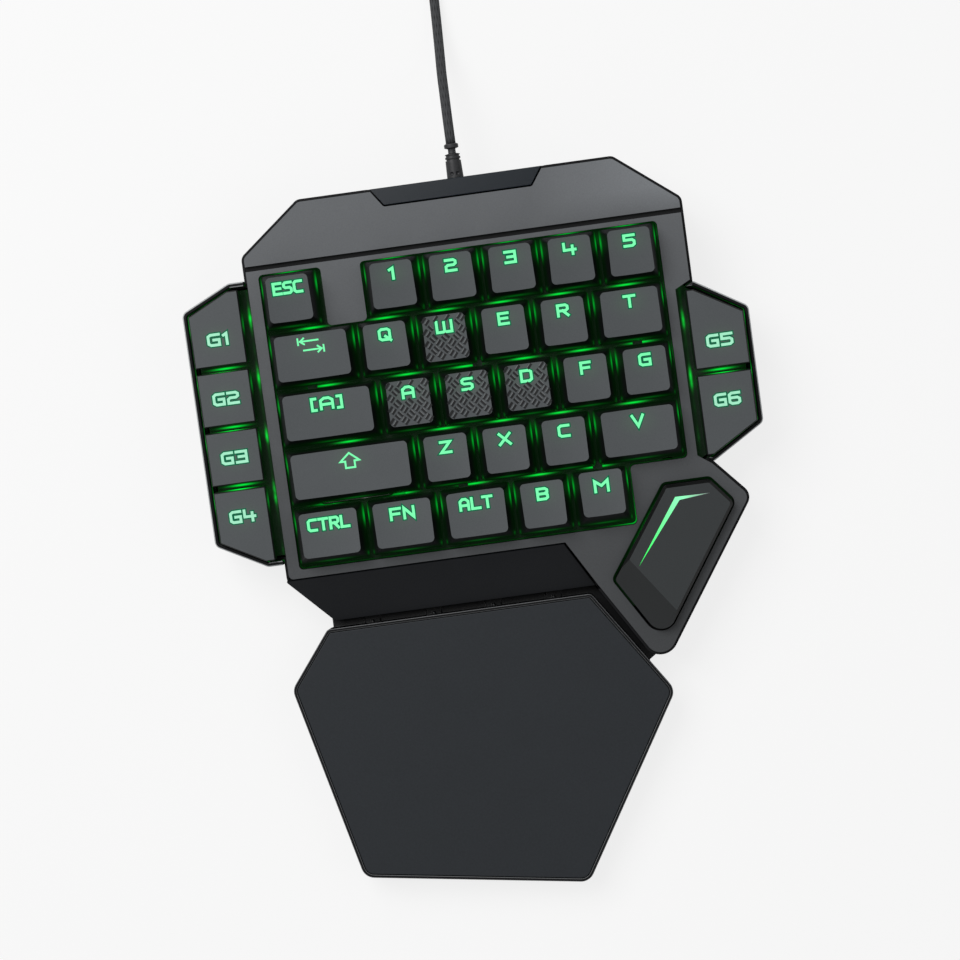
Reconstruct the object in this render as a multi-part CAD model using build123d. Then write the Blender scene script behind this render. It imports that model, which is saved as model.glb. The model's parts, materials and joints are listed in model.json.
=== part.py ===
from build123d import *
import math
import os

os.makedirs("parts", exist_ok=True)

# Gaming keypad for one hand, with a thumb key, two banks of macro keys and a palm rest.
# Deck frame: +X right along the key rows, +Y away from the user, +Z out of the deck,
# origin at the rear left corner of the key grid, on the deck's surface.
# The finished part stands on its feet, with +Z up.

# Key grid
key_unit = 19.05
grid_forward = 0.7
key_travel = 3.6
key_unit_shares = {
    "key_esc": (0, 0, 1), "key_1": (0, 1.75, 1), "key_2": (0, 2.75, 1), "key_3": (0, 3.75, 1),
    "key_4": (0, 4.75, 1), "key_5": (0, 5.75, 1), "key_tab": (1, 0, 1.5), "key_q": (1, 1.5, 1),
    "key_w": (1, 2.5, 1), "key_e": (1, 3.5, 1), "key_r": (1, 4.5, 1), "key_t": (1, 5.5, 1.25),
    "key_caps": (2, 0, 1.75), "key_a": (2, 1.75, 1), "key_s": (2, 2.75, 1), "key_d": (2, 3.75, 1),
    "key_f": (2, 4.75, 1), "key_g": (2, 5.75, 1), "key_shift": (3, 0, 2.25), "key_z": (3, 2.25, 1),
    "key_x": (3, 3.25, 1), "key_c": (3, 4.25, 1), "key_v": (3, 5.25, 1.5), "key_ctrl": (4, 0, 1.25),
    "key_fn": (4, 1.25, 1.25), "key_alt": (4, 2.5, 1.25), "key_b": (4, 3.75, 1), "key_m": (4, 4.75, 1),
}

# Main keycaps
cap_gap = 1.1
cap_depth = 17.9
cap_side_slope = 2.15
cap_rear_slope = 1.1
cap_front_slope = 2.5
cap_height = 9.4
cap_wall = 1.3
cap_roof = 1.5
cap_dish = 0.45
cap_foot_radius = 0.9
cap_top_radius = 1.6
row_height_shares = (1.0, 0.95, 0.91, 0.92, 0.95)
row_tilt_degrees = (5.0, 3.0, 1.0, -2.0, -3.0)
odd_cap_back = 1.0

# Switches, with heights above the plate's top
plate_below_deck = 7.5
plate_thick = 1.5
plate_hole = 14.0
plate_margin = 2.6
board_drop = 5.0
board_thick = 1.6
board_margin = 3.2
base_side = 13.9
flange_side = 15.6
flange_thick = 1.0
cover_foot_side = 14.0
cover_top_width = 11.4
cover_top_depth = 10.4
switch_height = 6.6
well_width = 7.4
well_depth = 6.2
well_floor = 3.6
slider_width = 6.6
slider_depth = 5.4
slider_rise = 0.3
slider_foot = 0.6
cross_span = 4.0
cross_bar = 1.17
cross_height = 3.6
cross_clearance = 0.05
socket_radius = 2.75
cap_foot = 6.0
spring_radius = 2.1
spring_bore = 1.6
spring_pocket = 3.0
pocket_radius = 2.4
light_back = 5.2
light_width = 3.4
light_depth = 1.8
light_rise = 2.6
light_clearance = 0.3

# Stabiliser under the shift key
insert_reach = 11.94
insert_side = 5.4
insert_slot = 3.2
stab_width = 8.0
stab_back = 6.5
stab_front = 10.6
stab_well = 6.0
stab_rise = 3.0
stab_drop = 4.0
clip_rise = 1.9
wire_radius = 0.75
wire_forward = 9.0
wire_rise = 1.3
wire_tip_back = 0.6
wire_clearance = 0.3
arm_slot = 2.4

# Outline of the case, measured from the key grid's rear left corner
rear_reach = 21.5
left_margin = 4.6
right_margin = 9.4125
corner_run = 20.3
corner_rise = 16.0
case_corner = 3.0
front_reach = 115.2
deck_front = 100.3
panel_inset = 13.3
panel_right = 85.7
thumb_root = 94.3
thumb_tip_x = 112.3
thumb_tip_y = 144.8
thumb_tip_radius = 5.9
thumb_side_out = 10.1
thumb_side_y = 92.2
thumb_side_radius = 4.0
wing_radius = 2.5
left_wing_reach = 25.8
left_wing_root = 9.8
left_wing_rear = 2.2
left_wing_rear_cut = 7.7
left_wing_front = 94.3
left_wing_front_cut = 8.8
right_wing_out = 16.6
right_wing_rear = 21.6
right_wing_rear_cut = 10.2
right_wing_front = 79.9
right_wing_front_cut = 10.5
right_wing_root_in = 0.8
notch_depth = 5.0
notch_rear_rise = 2.5
notch_front_rise = 3.0

# Key well and thumb well
well_left = 0.05
well_right_gap = 0.4125
well_rear = 0.9
well_front = 96.7
well_step_x = 110.2
well_step_y = 77.6
tongue_left = 20.2
tongue_right = 32.9
tongue_front = 19.9
well_radius = 1.5
thumb_well_rear = 84.4
thumb_well_rear_left = 119.7
thumb_well_rear_right = 135.2
thumb_well_side_x = 142.7
thumb_well_side_y = 93.5
thumb_well_front_x = 113.4
thumb_well_front_y = 136.7
thumb_well_left_x = 99.4
thumb_well_left_y = 113.4
thumb_well_radius = 5.5
thumb_corner_radius = 2.4

# Case
deck_tilt = 4.0
deck_height = 27.4
case_wall = 2.0
case_floor = 2.0
lip_wide = 0.75
lip_below = 1.2
cover_thick = 2.2
cover_inset = 0.9
cover_gap = 0.3
skirt_inset = 1.3
skirt_wall = 1.2
well_wall = 1.4
skirt_clearance = 0.3
groove_front = 0.6
groove_wide = 1.6
groove_deep = 1.2
wing_wall_below = 3.0
wing_key_clearance = 0.6
bezel_above = 0.6
bezel_wall = 1.5
panel_thick = 2.0
panel_drop = 6.3
accent_rear_left = 39.3
accent_rear_right = 94.8
accent_slant = 4.0
accent_deep = 5.7
accent_thick = 2.1
accent_gap = 0.45
accent_corner = 1.1
accent_below = 0.3
accent_fall = 1.1

# Macro keys and the thumb key
macro_gap = 2.0
macro_pitch = key_unit
macro_rise = 11.9
macro_foot = 5.0
macro_wall = 1.2
macro_roof = 1.4
macro_chamfer = 0.35
left_bank_x = -15.2
left_bank_y = 19.5
left_bank_width = 16.8
left_bank_rear = 4.7
left_bank_front = 92.1
left_rear_cut_x = 13.3
left_rear_cut_y = 6.6
left_front_cut_x = 13.8
left_front_cut_y = 7.6
right_bank_out = 5.7
right_bank_y = 41.4
right_bank_width = 17.4
right_bank_rear = 24.3
right_bank_front = 77.5
right_rear_cut_x = 15.1
right_rear_cut_y = 8.9
right_front_cut_x = 15.2
right_front_cut_y = 9.0
thumb_x = 121.0
thumb_y = 108.0
thumb_turn = -34.0
thumb_gap = 0.9
thumb_chamfer = 0.9
crease_left_x = 105.7
crease_left_y = 107.2
crease_right_x = 119.2
crease_right_y = 126.2
crease_slope = 14.0
crease_land = 1.5
bar_tip_x = 108.5
bar_tip_y = 110.0
bar_elbow_x = 123.0
bar_elbow_y = 89.3
bar_end_x = 134.3
bar_end_y = 89.5
bar_inner_x = 124.25
bar_inner_y = 90.45
bar_deep = 0.6

# Fasteners and feet
post_radius = 1.9
post_hole_radius = 2.4
post_x_shares = (0.63, 3.46, 6.2)
post_front_x_shares = (2.94, 5.25)
boss_radius = 3.2
boss_hole_radius = 3.8
boss_places = ((22.0, 11.0), (112.0, 11.0), (93.5, -103.5), (123.0, -80.9))
boss_join = 12.5
screw_radius = 1.2
screw_hole_radius = 1.25
screw_head_radius = 1.6
screw_head_thick = 1.2
screw_head_clearance = 0.2
screw_bite = 5.0
post_screw_length = 6.0
foot_height = 1.5
foot_radius = 5.0
foot_recess = 0.5
foot_clearance = 0.1
foot_places = ((8.0, 12.0), (124.0, 12.0), (4.0, -92.0), (110.0, -128.0), (128.0, -70.0))
palm_foot_runs = ((4.0, 17.2), (101.0, 29.2), (15.0, 71.2), (76.0, 79.2))

# Palm rest, in standing height above the table
palm_gap = 1.6
palm_rear_left = 6.0
palm_rear_right = 92.3
palm_left_x = -8.0
palm_left_run = 18.0
palm_front_left_x = 6.9
palm_front_left_run = 81.9
palm_front_right_x = 79.3
palm_front_right_run = 93.1
palm_right_x = 115.3
palm_right_run = 34.7
palm_radius = 4.5
palm_rear_radius = 2.0
palm_rear_height = 16.0
palm_slope = 2.8
palm_wall = 2.6
palm_floor = 2.0
pad_inset = 1.25
pad_clearance = 0.15
pad_thick = 2.6
rib_thick = 1.6
rib_shares = (0.25, 0.5, 0.75)
tab_x = (20.6, 40.8, 60.5, 80.2)
tab_width = 5.0
tab_thick = 1.8
tab_reach = 6.6
tab_height = 7.6
tab_clearance = 0.3
ledge_top = 8.6
ledge_low = 2.0
ledge_left_in = 1.5
ledge_reach = 6.0
ledge_clearance = 0.2
ledge_side_share = 0.7
tick_width = 0.9
tick_top = 11.0
tick_reach = 0.9

# Cord, strain relief and plug
cord_x = 67.05
cord_below_deck = 11.5
cord_diameter = 3.2
relief_root_radius = 2.7
relief_tip_radius = 2.45
relief_length = 8.4
relief_neck_radius = 1.25
relief_neck = 1.4
relief_ring_radius = 2.3
relief_ring = 1.8
relief_ease = 0.35
relief_band = 0.6
relief_band_deep = 0.3
relief_band_count = 2
relief_dimple_radius = 0.7
relief_dimple_side = 1.05
relief_dimple_up = 1.7
relief_flange_radius = 4.2
relief_flange = 1.6
relief_clearance = 0.1
lead_in_radius = 1.7
coil_radius = 24.0
coil_pitch = 4.3
coil_layer = 3.75
coil_layers = 4
turns_per_layer = 2.875
coil_x = 44.0
coil_y = 129.0
coil_lift = 2.6
tie_width = 7.0
tie_wall = 0.8
tie_clearance = 0.25
plug_grip_length = 28.0
plug_grip_width = 15.6
plug_grip_thick = 8.0
plug_grip_radius = 2.0
plug_neck_length = 8.0
plug_neck_radius = 2.6
plug_shell_length = 18.8
plug_shell_width = 12.0
plug_shell_thick = 4.5
plug_shell_wall = 0.3
plug_tongue_thick = 1.84
plug_tongue_short = 0.6

# How finely the cord's curves are drawn
bend_share = 0.45
steps_per_turn = 8
climb_steps = 4
gap_samples = 1500

# One overrun serves all cuts
overrun = 40.0

# Places tied to other sizes
grid_units = max(start + units for row, start, units in key_unit_shares.values())
right_reach = grid_units * key_unit + right_margin
well_right = grid_units * key_unit + well_right_gap
right_wing_reach = right_reach + right_wing_out
right_wing_front_root = right_reach - right_wing_root_in
right_bank_x = right_reach + right_bank_out
thumb_side_x = right_reach + thumb_side_out
palm_rear = front_reach + palm_gap
palm_left_y = palm_rear + palm_left_run
palm_front_left_y = palm_rear + palm_front_left_run
palm_front_right_y = palm_rear + palm_front_right_run
palm_right_y = palm_rear + palm_right_run
palm_foot_places = [(x, -palm_rear - run) for x, run in palm_foot_runs]


# Outlines with rounded corners
def rounded_face(corners):
    spots = [Vector(x, y) for x, y, radius in corners]
    starts, middles, ends = [], [], []
    for i, (x, y, radius) in enumerate(corners):
        before = (spots[i - 1] - spots[i]).normalized()
        after = (spots[(i + 1) % len(spots)] - spots[i]).normalized()
        half = math.radians(before.get_angle(after)) / 2
        starts.append(spots[i] + before * (radius / math.tan(half)))
        ends.append(spots[i] + after * (radius / math.tan(half)))
        middles.append(spots[i] + (before + after).normalized() * (radius / math.sin(half) - radius))
    edges = []
    for i, (x, y, radius) in enumerate(corners):
        if radius > 0:
            edges.append(Edge.make_three_point_arc(starts[i], middles[i], ends[i]))
        edges.append(Edge.make_line(ends[i], starts[(i + 1) % len(spots)]))
    return Face(Wire(edges))


def inset(corners, distance):
    """The same outline, counterclockwise, drawn in by distance, or let out if it is negative."""
    moved = []
    count = len(corners)
    for i, (x, y, radius) in enumerate(corners):
        x0, y0 = corners[i - 1][:2]
        x1, y1 = corners[(i + 1) % count][:2]
        first = Vector(x - x0, y - y0).normalized()
        second = Vector(x1 - x, y1 - y).normalized()
        turn = first.X * second.Y - first.Y * second.X
        along = (1 - first.dot(second)) / turn
        new_x = x - first.Y * distance + first.X * -distance * along
        new_y = y + first.X * distance + first.Y * -distance * along
        rounder = radius - distance if turn > 0 else radius + distance
        moved.append((new_x, new_y, max(rounder, 0) if radius > 0 else 0))
    return moved


def prism(corners, low, high):
    return Pos(0, 0, low) * extrude(rounded_face(corners), high - low, dir=(0, 0, 1))


def block(x0, x1, y0, y1, z0, z1):
    return Pos((x0 + x1) / 2, (y0 + y1) / 2, (z0 + z1) / 2) * Box(x1 - x0, y1 - y0, z1 - z0)


def rod(x, y, radius, low, high):
    return Pos(x, y, (low + high) / 2) * Cylinder(radius, high - low)


def solids_of(shape):
    return list(shape.solids())


# Places of the frames
deck = Pos(0, 0, deck_height) * Rot(deck_tilt, 0, 0)
deck_sine = math.sin(math.radians(deck_tilt))
deck_cosine = math.cos(math.radians(deck_tilt))
plate_top = -plate_below_deck
palm_deck = Pos(0, -palm_rear, palm_rear_height) * Rot(palm_slope, 0, 0)
half_space = 4 * rear_reach + 2 * front_reach


def above_height(height):
    """All of the space above a standing height, up to beyond the part."""
    return block(-half_space, half_space, -half_space, half_space, height, height + half_space)


def deck_z(y, height):
    """The deck frame's z of the point at y whose standing height is given."""
    return (height - deck_height - y * deck_sine) / deck_cosine


# Outline tables
body_outline = [
    (right_reach, rear_reach - corner_rise, case_corner),
    (right_reach - corner_run, rear_reach, case_corner),
    (corner_run - left_margin, rear_reach, case_corner),
    (-left_margin, rear_reach - corner_rise, case_corner),
]
front_outline = [
    (-left_margin, -deck_front, wing_radius),
    (panel_inset - left_margin, -front_reach, wing_radius),
]
thumb_outline = [
    (thumb_root, -front_reach, 0),
    (thumb_tip_x, -thumb_tip_y, thumb_tip_radius),
    (thumb_side_x, -thumb_side_y, thumb_side_radius),
    (right_wing_front_root, -right_wing_front, 0),
]
notch_outline = [
    (right_reach - notch_depth, notch_front_rise - right_wing_front, 0),
    (right_reach - notch_depth, -right_wing_rear - notch_rear_rise, 0),
    (right_reach, -right_wing_rear, 0),
]
left_wing_outline = [
    (-left_margin, -left_wing_rear, 0),
    (-left_wing_root, -left_wing_rear, wing_radius),
    (-left_wing_reach, -left_wing_rear - left_wing_rear_cut, wing_radius),
    (-left_wing_reach, left_wing_front_cut - left_wing_front, wing_radius),
    (-left_wing_root, -left_wing_front, wing_radius),
    (-left_margin, -left_wing_front, 0),
]
right_wing_outline = [
    (right_wing_reach, right_wing_front_cut - right_wing_front, wing_radius),
    (right_wing_reach, -right_wing_rear - right_wing_rear_cut, wing_radius),
]
case_outline = (
    body_outline + left_wing_outline + front_outline + thumb_outline
    + right_wing_outline + [notch_outline[-1]]
)
trunk_outline = body_outline + front_outline + thumb_outline + notch_outline
cover_outline = (
    body_outline + [front_outline[0], (panel_right, -deck_front, 0)] + thumb_outline + notch_outline
)
panel_outline = [
    (panel_right, -deck_front + cover_inset - cover_gap, 0),
    (-left_margin, -deck_front + cover_inset - cover_gap, 0),
    (-left_margin, -deck_front, 0),
    (panel_inset - left_margin, -front_reach, wing_radius),
    (thumb_root, -front_reach, 0),
]
key_well_outline = [
    (well_right, -well_rear, well_radius),
    (tongue_right, -well_rear, well_radius),
    (tongue_right, -tongue_front, well_radius),
    (tongue_left, -tongue_front, well_radius),
    (tongue_left, -well_rear, well_radius),
    (well_left, -well_rear, well_radius),
    (well_left, -well_front, well_radius),
    (well_step_x, -well_front, well_radius),
    (well_step_x, -well_step_y, well_radius),
    (well_right, -well_step_y, well_radius),
]
thumb_well_outline = [
    (thumb_well_rear_right, -thumb_well_rear, thumb_corner_radius),
    (thumb_well_rear_left, -thumb_well_rear, thumb_corner_radius),
    (thumb_well_left_x, -thumb_well_left_y, thumb_corner_radius),
    (thumb_well_front_x, -thumb_well_front_y, thumb_well_radius),
    (thumb_well_side_x, -thumb_well_side_y, case_corner),
]
accent_outline = [
    (accent_rear_right, rear_reach, 0),
    (accent_rear_left, rear_reach, 0),
    (accent_rear_left + accent_slant, rear_reach - accent_deep, 0),
    (accent_rear_right - accent_slant, rear_reach - accent_deep, 0),
]
palm_outline = [
    (palm_rear_right, -palm_rear, palm_rear_radius),
    (palm_rear_left, -palm_rear, palm_rear_radius),
    (palm_left_x, -palm_left_y, palm_radius),
    (palm_front_left_x, -palm_front_left_y, palm_radius),
    (palm_front_right_x, -palm_front_right_y, palm_radius),
    (palm_right_x, -palm_right_y, palm_radius),
]


# Where the switches stand
def main_place(row, start, units):
    return ((start + units / 2) * key_unit, -(row + 0.5) * key_unit - grid_forward)


def macro_places():
    left = [(left_bank_x, -left_bank_y - i * macro_pitch) for i in range(4)]
    right = [(right_bank_x, -right_bank_y - i * macro_pitch) for i in range(2)]
    return left + right


main_places = {name: main_place(*shares) for name, shares in key_unit_shares.items()}
switch_spots = [Pos(x, y, plate_top) for x, y in main_places.values()]
switch_spots += [Pos(x, y, plate_top) for x, y in macro_places()]
thumb_spot = Pos(thumb_x, -thumb_y, plate_top) * Rot(0, 0, thumb_turn)
switch_spots.append(thumb_spot)


# Pieces of a switch, about its own centre on the plate's top
def cross_shape(span, bar, low, high):
    along = Pos(0, 0, (low + high) / 2) * Box(span, bar, high - low)
    return along + Pos(0, 0, (low + high) / 2) * Box(bar, span, high - low)


def light_slot():
    width = light_width + 2 * light_clearance
    depth = light_depth + 2 * light_clearance
    return Pos(0, light_back, 0) * Box(width, depth, overrun)


def switch_base():
    lower = Pos(0, 0, -board_drop / 2) * Box(base_side, base_side, board_drop)
    flange = Pos(0, 0, flange_thick / 2) * Box(flange_side, flange_side, flange_thick)
    room = Pos(0, 0, overrun / 2 - well_floor) * Box(well_width, well_depth, overrun)
    return lower + flange - room - light_slot()


def switch_cover():
    foot = Pos(0, 0, flange_thick) * Rectangle(cover_foot_side, cover_foot_side)
    top = Pos(0, 0, switch_height) * Rectangle(cover_top_width, cover_top_depth)
    return loft([foot, top], ruled=True) - Box(well_width, well_depth, overrun) - light_slot()


shoulder = switch_height + slider_rise
pocket_top = slider_foot + spring_pocket


def switch_stem():
    slider = Pos(0, 0, (slider_foot + shoulder) / 2) * Box(
        slider_width, slider_depth, shoulder - slider_foot
    )
    pocket = rod(0, 0, pocket_radius, slider_foot - overrun, pocket_top)
    return slider - pocket + cross_shape(cross_span, cross_bar, shoulder, shoulder + cross_height)


def switch_spring():
    outer = rod(0, 0, spring_radius, -well_floor, pocket_top)
    return outer - rod(0, 0, spring_bore, -well_floor, pocket_top)


def switch_light():
    return Pos(0, light_back, (light_rise - board_drop) / 2) * Box(
        light_width, light_depth, light_rise + board_drop
    )


def cap_socket(top):
    """The round post under a cap, with its cross-shaped hole for the stem."""
    post = rod(0, 0, socket_radius, shoulder, top)
    span = cross_span + 2 * cross_clearance
    bar = cross_bar + 2 * cross_clearance
    hole = cross_shape(span, bar, shoulder - overrun, shoulder + cross_height + cross_clearance)
    return post - hole


# Keycaps
def cap_loft(width, depth, height, side, rear, front, foot_radius, top_radius, foot_z):
    foot = Pos(0, 0, foot_z) * RectangleRounded(width, depth, foot_radius)
    top = Pos(0, (front - rear) / 2, foot_z + height) * RectangleRounded(
        width - 2 * side, depth - rear - front, top_radius
    )
    return loft([foot, top], ruled=True)


def main_cap(row, units, top_back=0.0):
    width = units * key_unit - cap_gap
    height = cap_height * row_height_shares[row]
    spare = 1 + 2 * cap_roof / height
    rear = cap_rear_slope - top_back
    front = cap_front_slope + top_back
    outer = cap_loft(
        width, cap_depth, height * spare, cap_side_slope * spare, rear * spare, front * spare,
        cap_foot_radius, cap_top_radius, cap_foot,
    )
    top_width = width - 2 * cap_side_slope
    scoop_radius = top_width ** 2 / (8 * cap_dish) + cap_dish / 2
    scoop = Pos(0, (front - rear) / 2, cap_foot + height - cap_dish) * Rot(row_tilt_degrees[row], 0, 0)
    scoop = scoop * Pos(0, 0, scoop_radius) * Rot(90, 0, 0) * Cylinder(scoop_radius, overrun + cap_depth)
    hollow = cap_loft(
        width - 2 * cap_wall, cap_depth - 2 * cap_wall, height - cap_roof - cap_dish,
        cap_side_slope, rear, front, cap_foot_radius, cap_top_radius, cap_foot,
    )
    ceiling = cap_foot + height - cap_roof - cap_dish
    return outer - scoop - hollow + cap_socket(ceiling + cap_roof / 2), ceiling


def stabiliser_insert():
    rest_slot = wire_rise + key_travel / 2
    slot = block(
        -insert_side, insert_side, -insert_side, wire_tip_back + wire_clearance,
        rest_slot - insert_slot / 2, rest_slot + insert_slot / 2,
    )
    slot = slot & block(-arm_slot / 2, arm_slot / 2, -overrun, overrun, -overrun, overrun)
    body = Pos(0, 0, (slider_foot + shoulder) / 2) * Box(
        insert_side, insert_side, shoulder - slider_foot
    )
    return body - slot + cross_shape(cross_span, cross_bar, shoulder, shoulder + cross_height)


arm_slope = key_travel / 2 / (wire_forward + wire_tip_back)


def macro_cap(corners, place, turn=0.0):
    """A flat cap with upright walls, drawn from its outline in the deck frame."""
    low, high = plate_top + macro_foot, plate_top + macro_rise
    shell = prism(corners, low, high)
    shell = chamfer(shell.faces().sort_by(Axis.Z)[-1].edges(), macro_chamfer)
    hollow = prism(inset(corners, macro_wall), low - overrun, high - macro_roof)
    socket = Pos(place[0], place[1], plate_top) * Rot(0, 0, turn) * cap_socket(macro_rise - macro_roof / 2)
    return shell - hollow + socket


def bank_outline(centre_x, width, rear, front, rear_cut, front_cut, side):
    """One macro key's outline, with a cut corner on the wing's outer side where it has one."""
    outer, inner = centre_x + side * width / 2, centre_x - side * width / 2
    points = [(inner, -rear)]
    if rear_cut:
        points += [(outer - side * rear_cut[0], -rear), (outer, -rear - rear_cut[1])]
    else:
        points.append((outer, -rear))
    if front_cut:
        points += [(outer, front_cut[1] - front), (outer - side * front_cut[0], -front)]
    else:
        points.append((outer, -front))
    points.append((inner, -front))
    if side > 0:
        points.reverse()
    return [(x, y, cap_foot_radius / 2) for x, y in points]


def macro_outlines():
    half = (macro_pitch - macro_gap) / 2
    outlines = []
    for i in range(4):
        y = left_bank_y + i * macro_pitch
        rear = left_bank_rear if i == 0 else y - half
        front = left_bank_front if i == 3 else y + half
        rear_cut = (left_rear_cut_x, left_rear_cut_y) if i == 0 else None
        front_cut = (left_front_cut_x, left_front_cut_y) if i == 3 else None
        outlines.append(bank_outline(left_bank_x, left_bank_width, rear, front, rear_cut, front_cut, -1))
    for i in range(2):
        y = right_bank_y + i * macro_pitch
        rear = right_bank_rear if i == 0 else y - half
        front = right_bank_front if i == 1 else y + half
        rear_cut = (right_rear_cut_x, right_rear_cut_y) if i == 0 else None
        front_cut = (right_front_cut_x, right_front_cut_y) if i == 1 else None
        outlines.append(bank_outline(right_bank_x, right_bank_width, rear, front, rear_cut, front_cut, 1))
    return outlines


bar_outline = [
    (bar_elbow_x, -bar_elbow_y, 0),
    (bar_tip_x, -bar_tip_y, 0),
    (bar_inner_x, -bar_inner_y, 0),
    (bar_end_x, -bar_end_y, 0),
]


def crease_frame():
    """A frame on the thumb key's top whose +Y points across the crease, away from the slope."""
    along = Vector(crease_right_x - crease_left_x, crease_left_y - crease_right_y).normalized()
    turn = math.degrees(math.atan2(along.Y, along.X))
    return Pos(crease_left_x, -crease_left_y, plate_top + macro_rise) * Rot(0, 0, turn)


def thumb_cap():
    low, high = plate_top + macro_foot, plate_top + macro_rise
    corners = inset(thumb_well_outline, thumb_gap)
    shell = prism(corners, low, high)
    shell = chamfer(shell.faces().sort_by(Axis.Z)[-1].edges(), thumb_chamfer)
    far = front_reach
    slope = crease_frame() * Rot(crease_slope, 0, 0) * block(-far, far, -far, 0, 0, far)
    hollow = prism(inset(corners, macro_wall), low - overrun, high - macro_roof)
    hollow = hollow - crease_frame() * block(-far, far, -far, crease_land, -far, far)
    socket = thumb_spot * cap_socket(macro_rise - macro_roof / 2)
    groove = prism(bar_outline, high - bar_deep, high + overrun)
    return shell - slope - hollow + socket - groove


def thumb_bar():
    return prism(bar_outline, plate_top + macro_rise - bar_deep, plate_top + macro_rise)


# Plate and circuit board
def inner_sheet(margin, low, high):
    """A flat sheet inside the case, under the key well, both wings and the thumb key."""
    sheet = prism(inset(case_outline, margin), low, high)
    main = block(-half_space, half_space, -well_front - well_wall, well_wall, -overrun, overrun)
    thumb = block(
        thumb_well_left_x, half_space, -thumb_y - flange_side, -well_front, -overrun, overrun
    )
    return sheet & (main + thumb)


post_places = [(share * key_unit, -2 * key_unit - grid_forward) for share in post_x_shares]
post_places += [(share * key_unit, -4 * key_unit - grid_forward) for share in post_front_x_shares]


def stabiliser_spots():
    x, y = main_places["key_shift"]
    return [Pos(x - insert_reach, y, plate_top), Pos(x + insert_reach, y, plate_top)]


def switch_plate():
    plate = inner_sheet(plate_margin, plate_top - plate_thick, plate_top)
    cuts = [spot * Box(plate_hole, plate_hole, overrun) for spot in switch_spots]
    cuts += [
        spot * block(-stab_width / 2, stab_width / 2, -plate_hole / 2, plate_hole / 2, -overrun, overrun)
        for spot in stabiliser_spots()
    ]
    cuts += [rod(x, y, screw_hole_radius, plate_top - overrun, plate_top + overrun) for x, y in post_places]
    cuts += [
        rod(x, y, boss_hole_radius, plate_top - overrun, plate_top + overrun) for x, y in boss_places
    ]
    return plate.cut(*[solid for cut in cuts for solid in solids_of(cut)])


def circuit_board():
    high = plate_top - board_drop
    board = inner_sheet(board_margin, high - board_thick, high)
    cuts = [rod(x, y, post_hole_radius, high - overrun, high + overrun) for x, y in post_places]
    cuts += [rod(x, y, boss_hole_radius, high - overrun, high + overrun) for x, y in boss_places]
    return board.cut(*[solid for cut in cuts for solid in solids_of(cut)])


# Stabiliser: two housings and one wire
def stabiliser_housing():
    side, well = stab_width / 2, stab_well / 2
    body = block(-side, side, -plate_hole / 2, stab_back, -stab_drop, stab_rise)
    body = body & block(-side + wire_clearance, side - wire_clearance, -overrun, overrun, -overrun, 0)
    upper = block(-side + wire_clearance, side - wire_clearance, -plate_hole / 2, stab_back, 0, stab_rise)
    clip = block(-side + wire_clearance, side - wire_clearance, -stab_front, -plate_hole / 2, 0, clip_rise)
    room = block(-well, well, -well, well, -overrun, overrun)
    slot = block(-arm_slot / 2, arm_slot / 2, -wire_forward, 0, -overrun, overrun)
    groove_radius = wire_radius + wire_clearance
    groove = Pos(0, -wire_forward, wire_rise) * Rot(0, 90, 0) * Cylinder(groove_radius, overrun)
    groove += block(
        -overrun, overrun, -wire_forward - groove_radius, -wire_forward + groove_radius,
        wire_rise, overrun,
    )
    return body + upper + clip - room - slot - groove


def stabiliser_wire():
    arm = (wire_forward + wire_tip_back) / math.cos(math.atan(arm_slope))
    x, y = main_places["key_shift"]
    corner = 2 * wire_radius
    turned = Pos(x, y - wire_forward, plate_top + wire_rise) * Rot(math.degrees(math.atan(arm_slope)), 0, 0)
    path = FilletPolyline(
        (-insert_reach, arm, 0), (-insert_reach, 0, 0), (insert_reach, 0, 0), (insert_reach, arm, 0),
        radius=corner,
    )
    section = Plane(origin=(-insert_reach, arm, 0), z_dir=(0, -1, 0)) * Circle(wire_radius)
    return turned * sweep(section, path=path)


# Bottom case: a tray with walls, posts, bosses and slots
def slope_space(drop):
    """All of the space above the front panel's slope, lowered by drop."""
    angle = math.degrees(math.atan2(panel_drop, front_reach - deck_front))
    frame = Pos(0, -deck_front, 0) * Rot(angle, 0, 0)
    far = half_space
    return frame * Pos(0, 0, -drop) * block(-far, far, -far, cover_inset, 0, far)


def relief_frame():
    """A frame at the cord's exit, on the rear wall's outer face, +Z pointing out."""
    return Pos(cord_x, rear_reach, -cord_below_deck) * Rot(-90, 0, 0)


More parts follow.
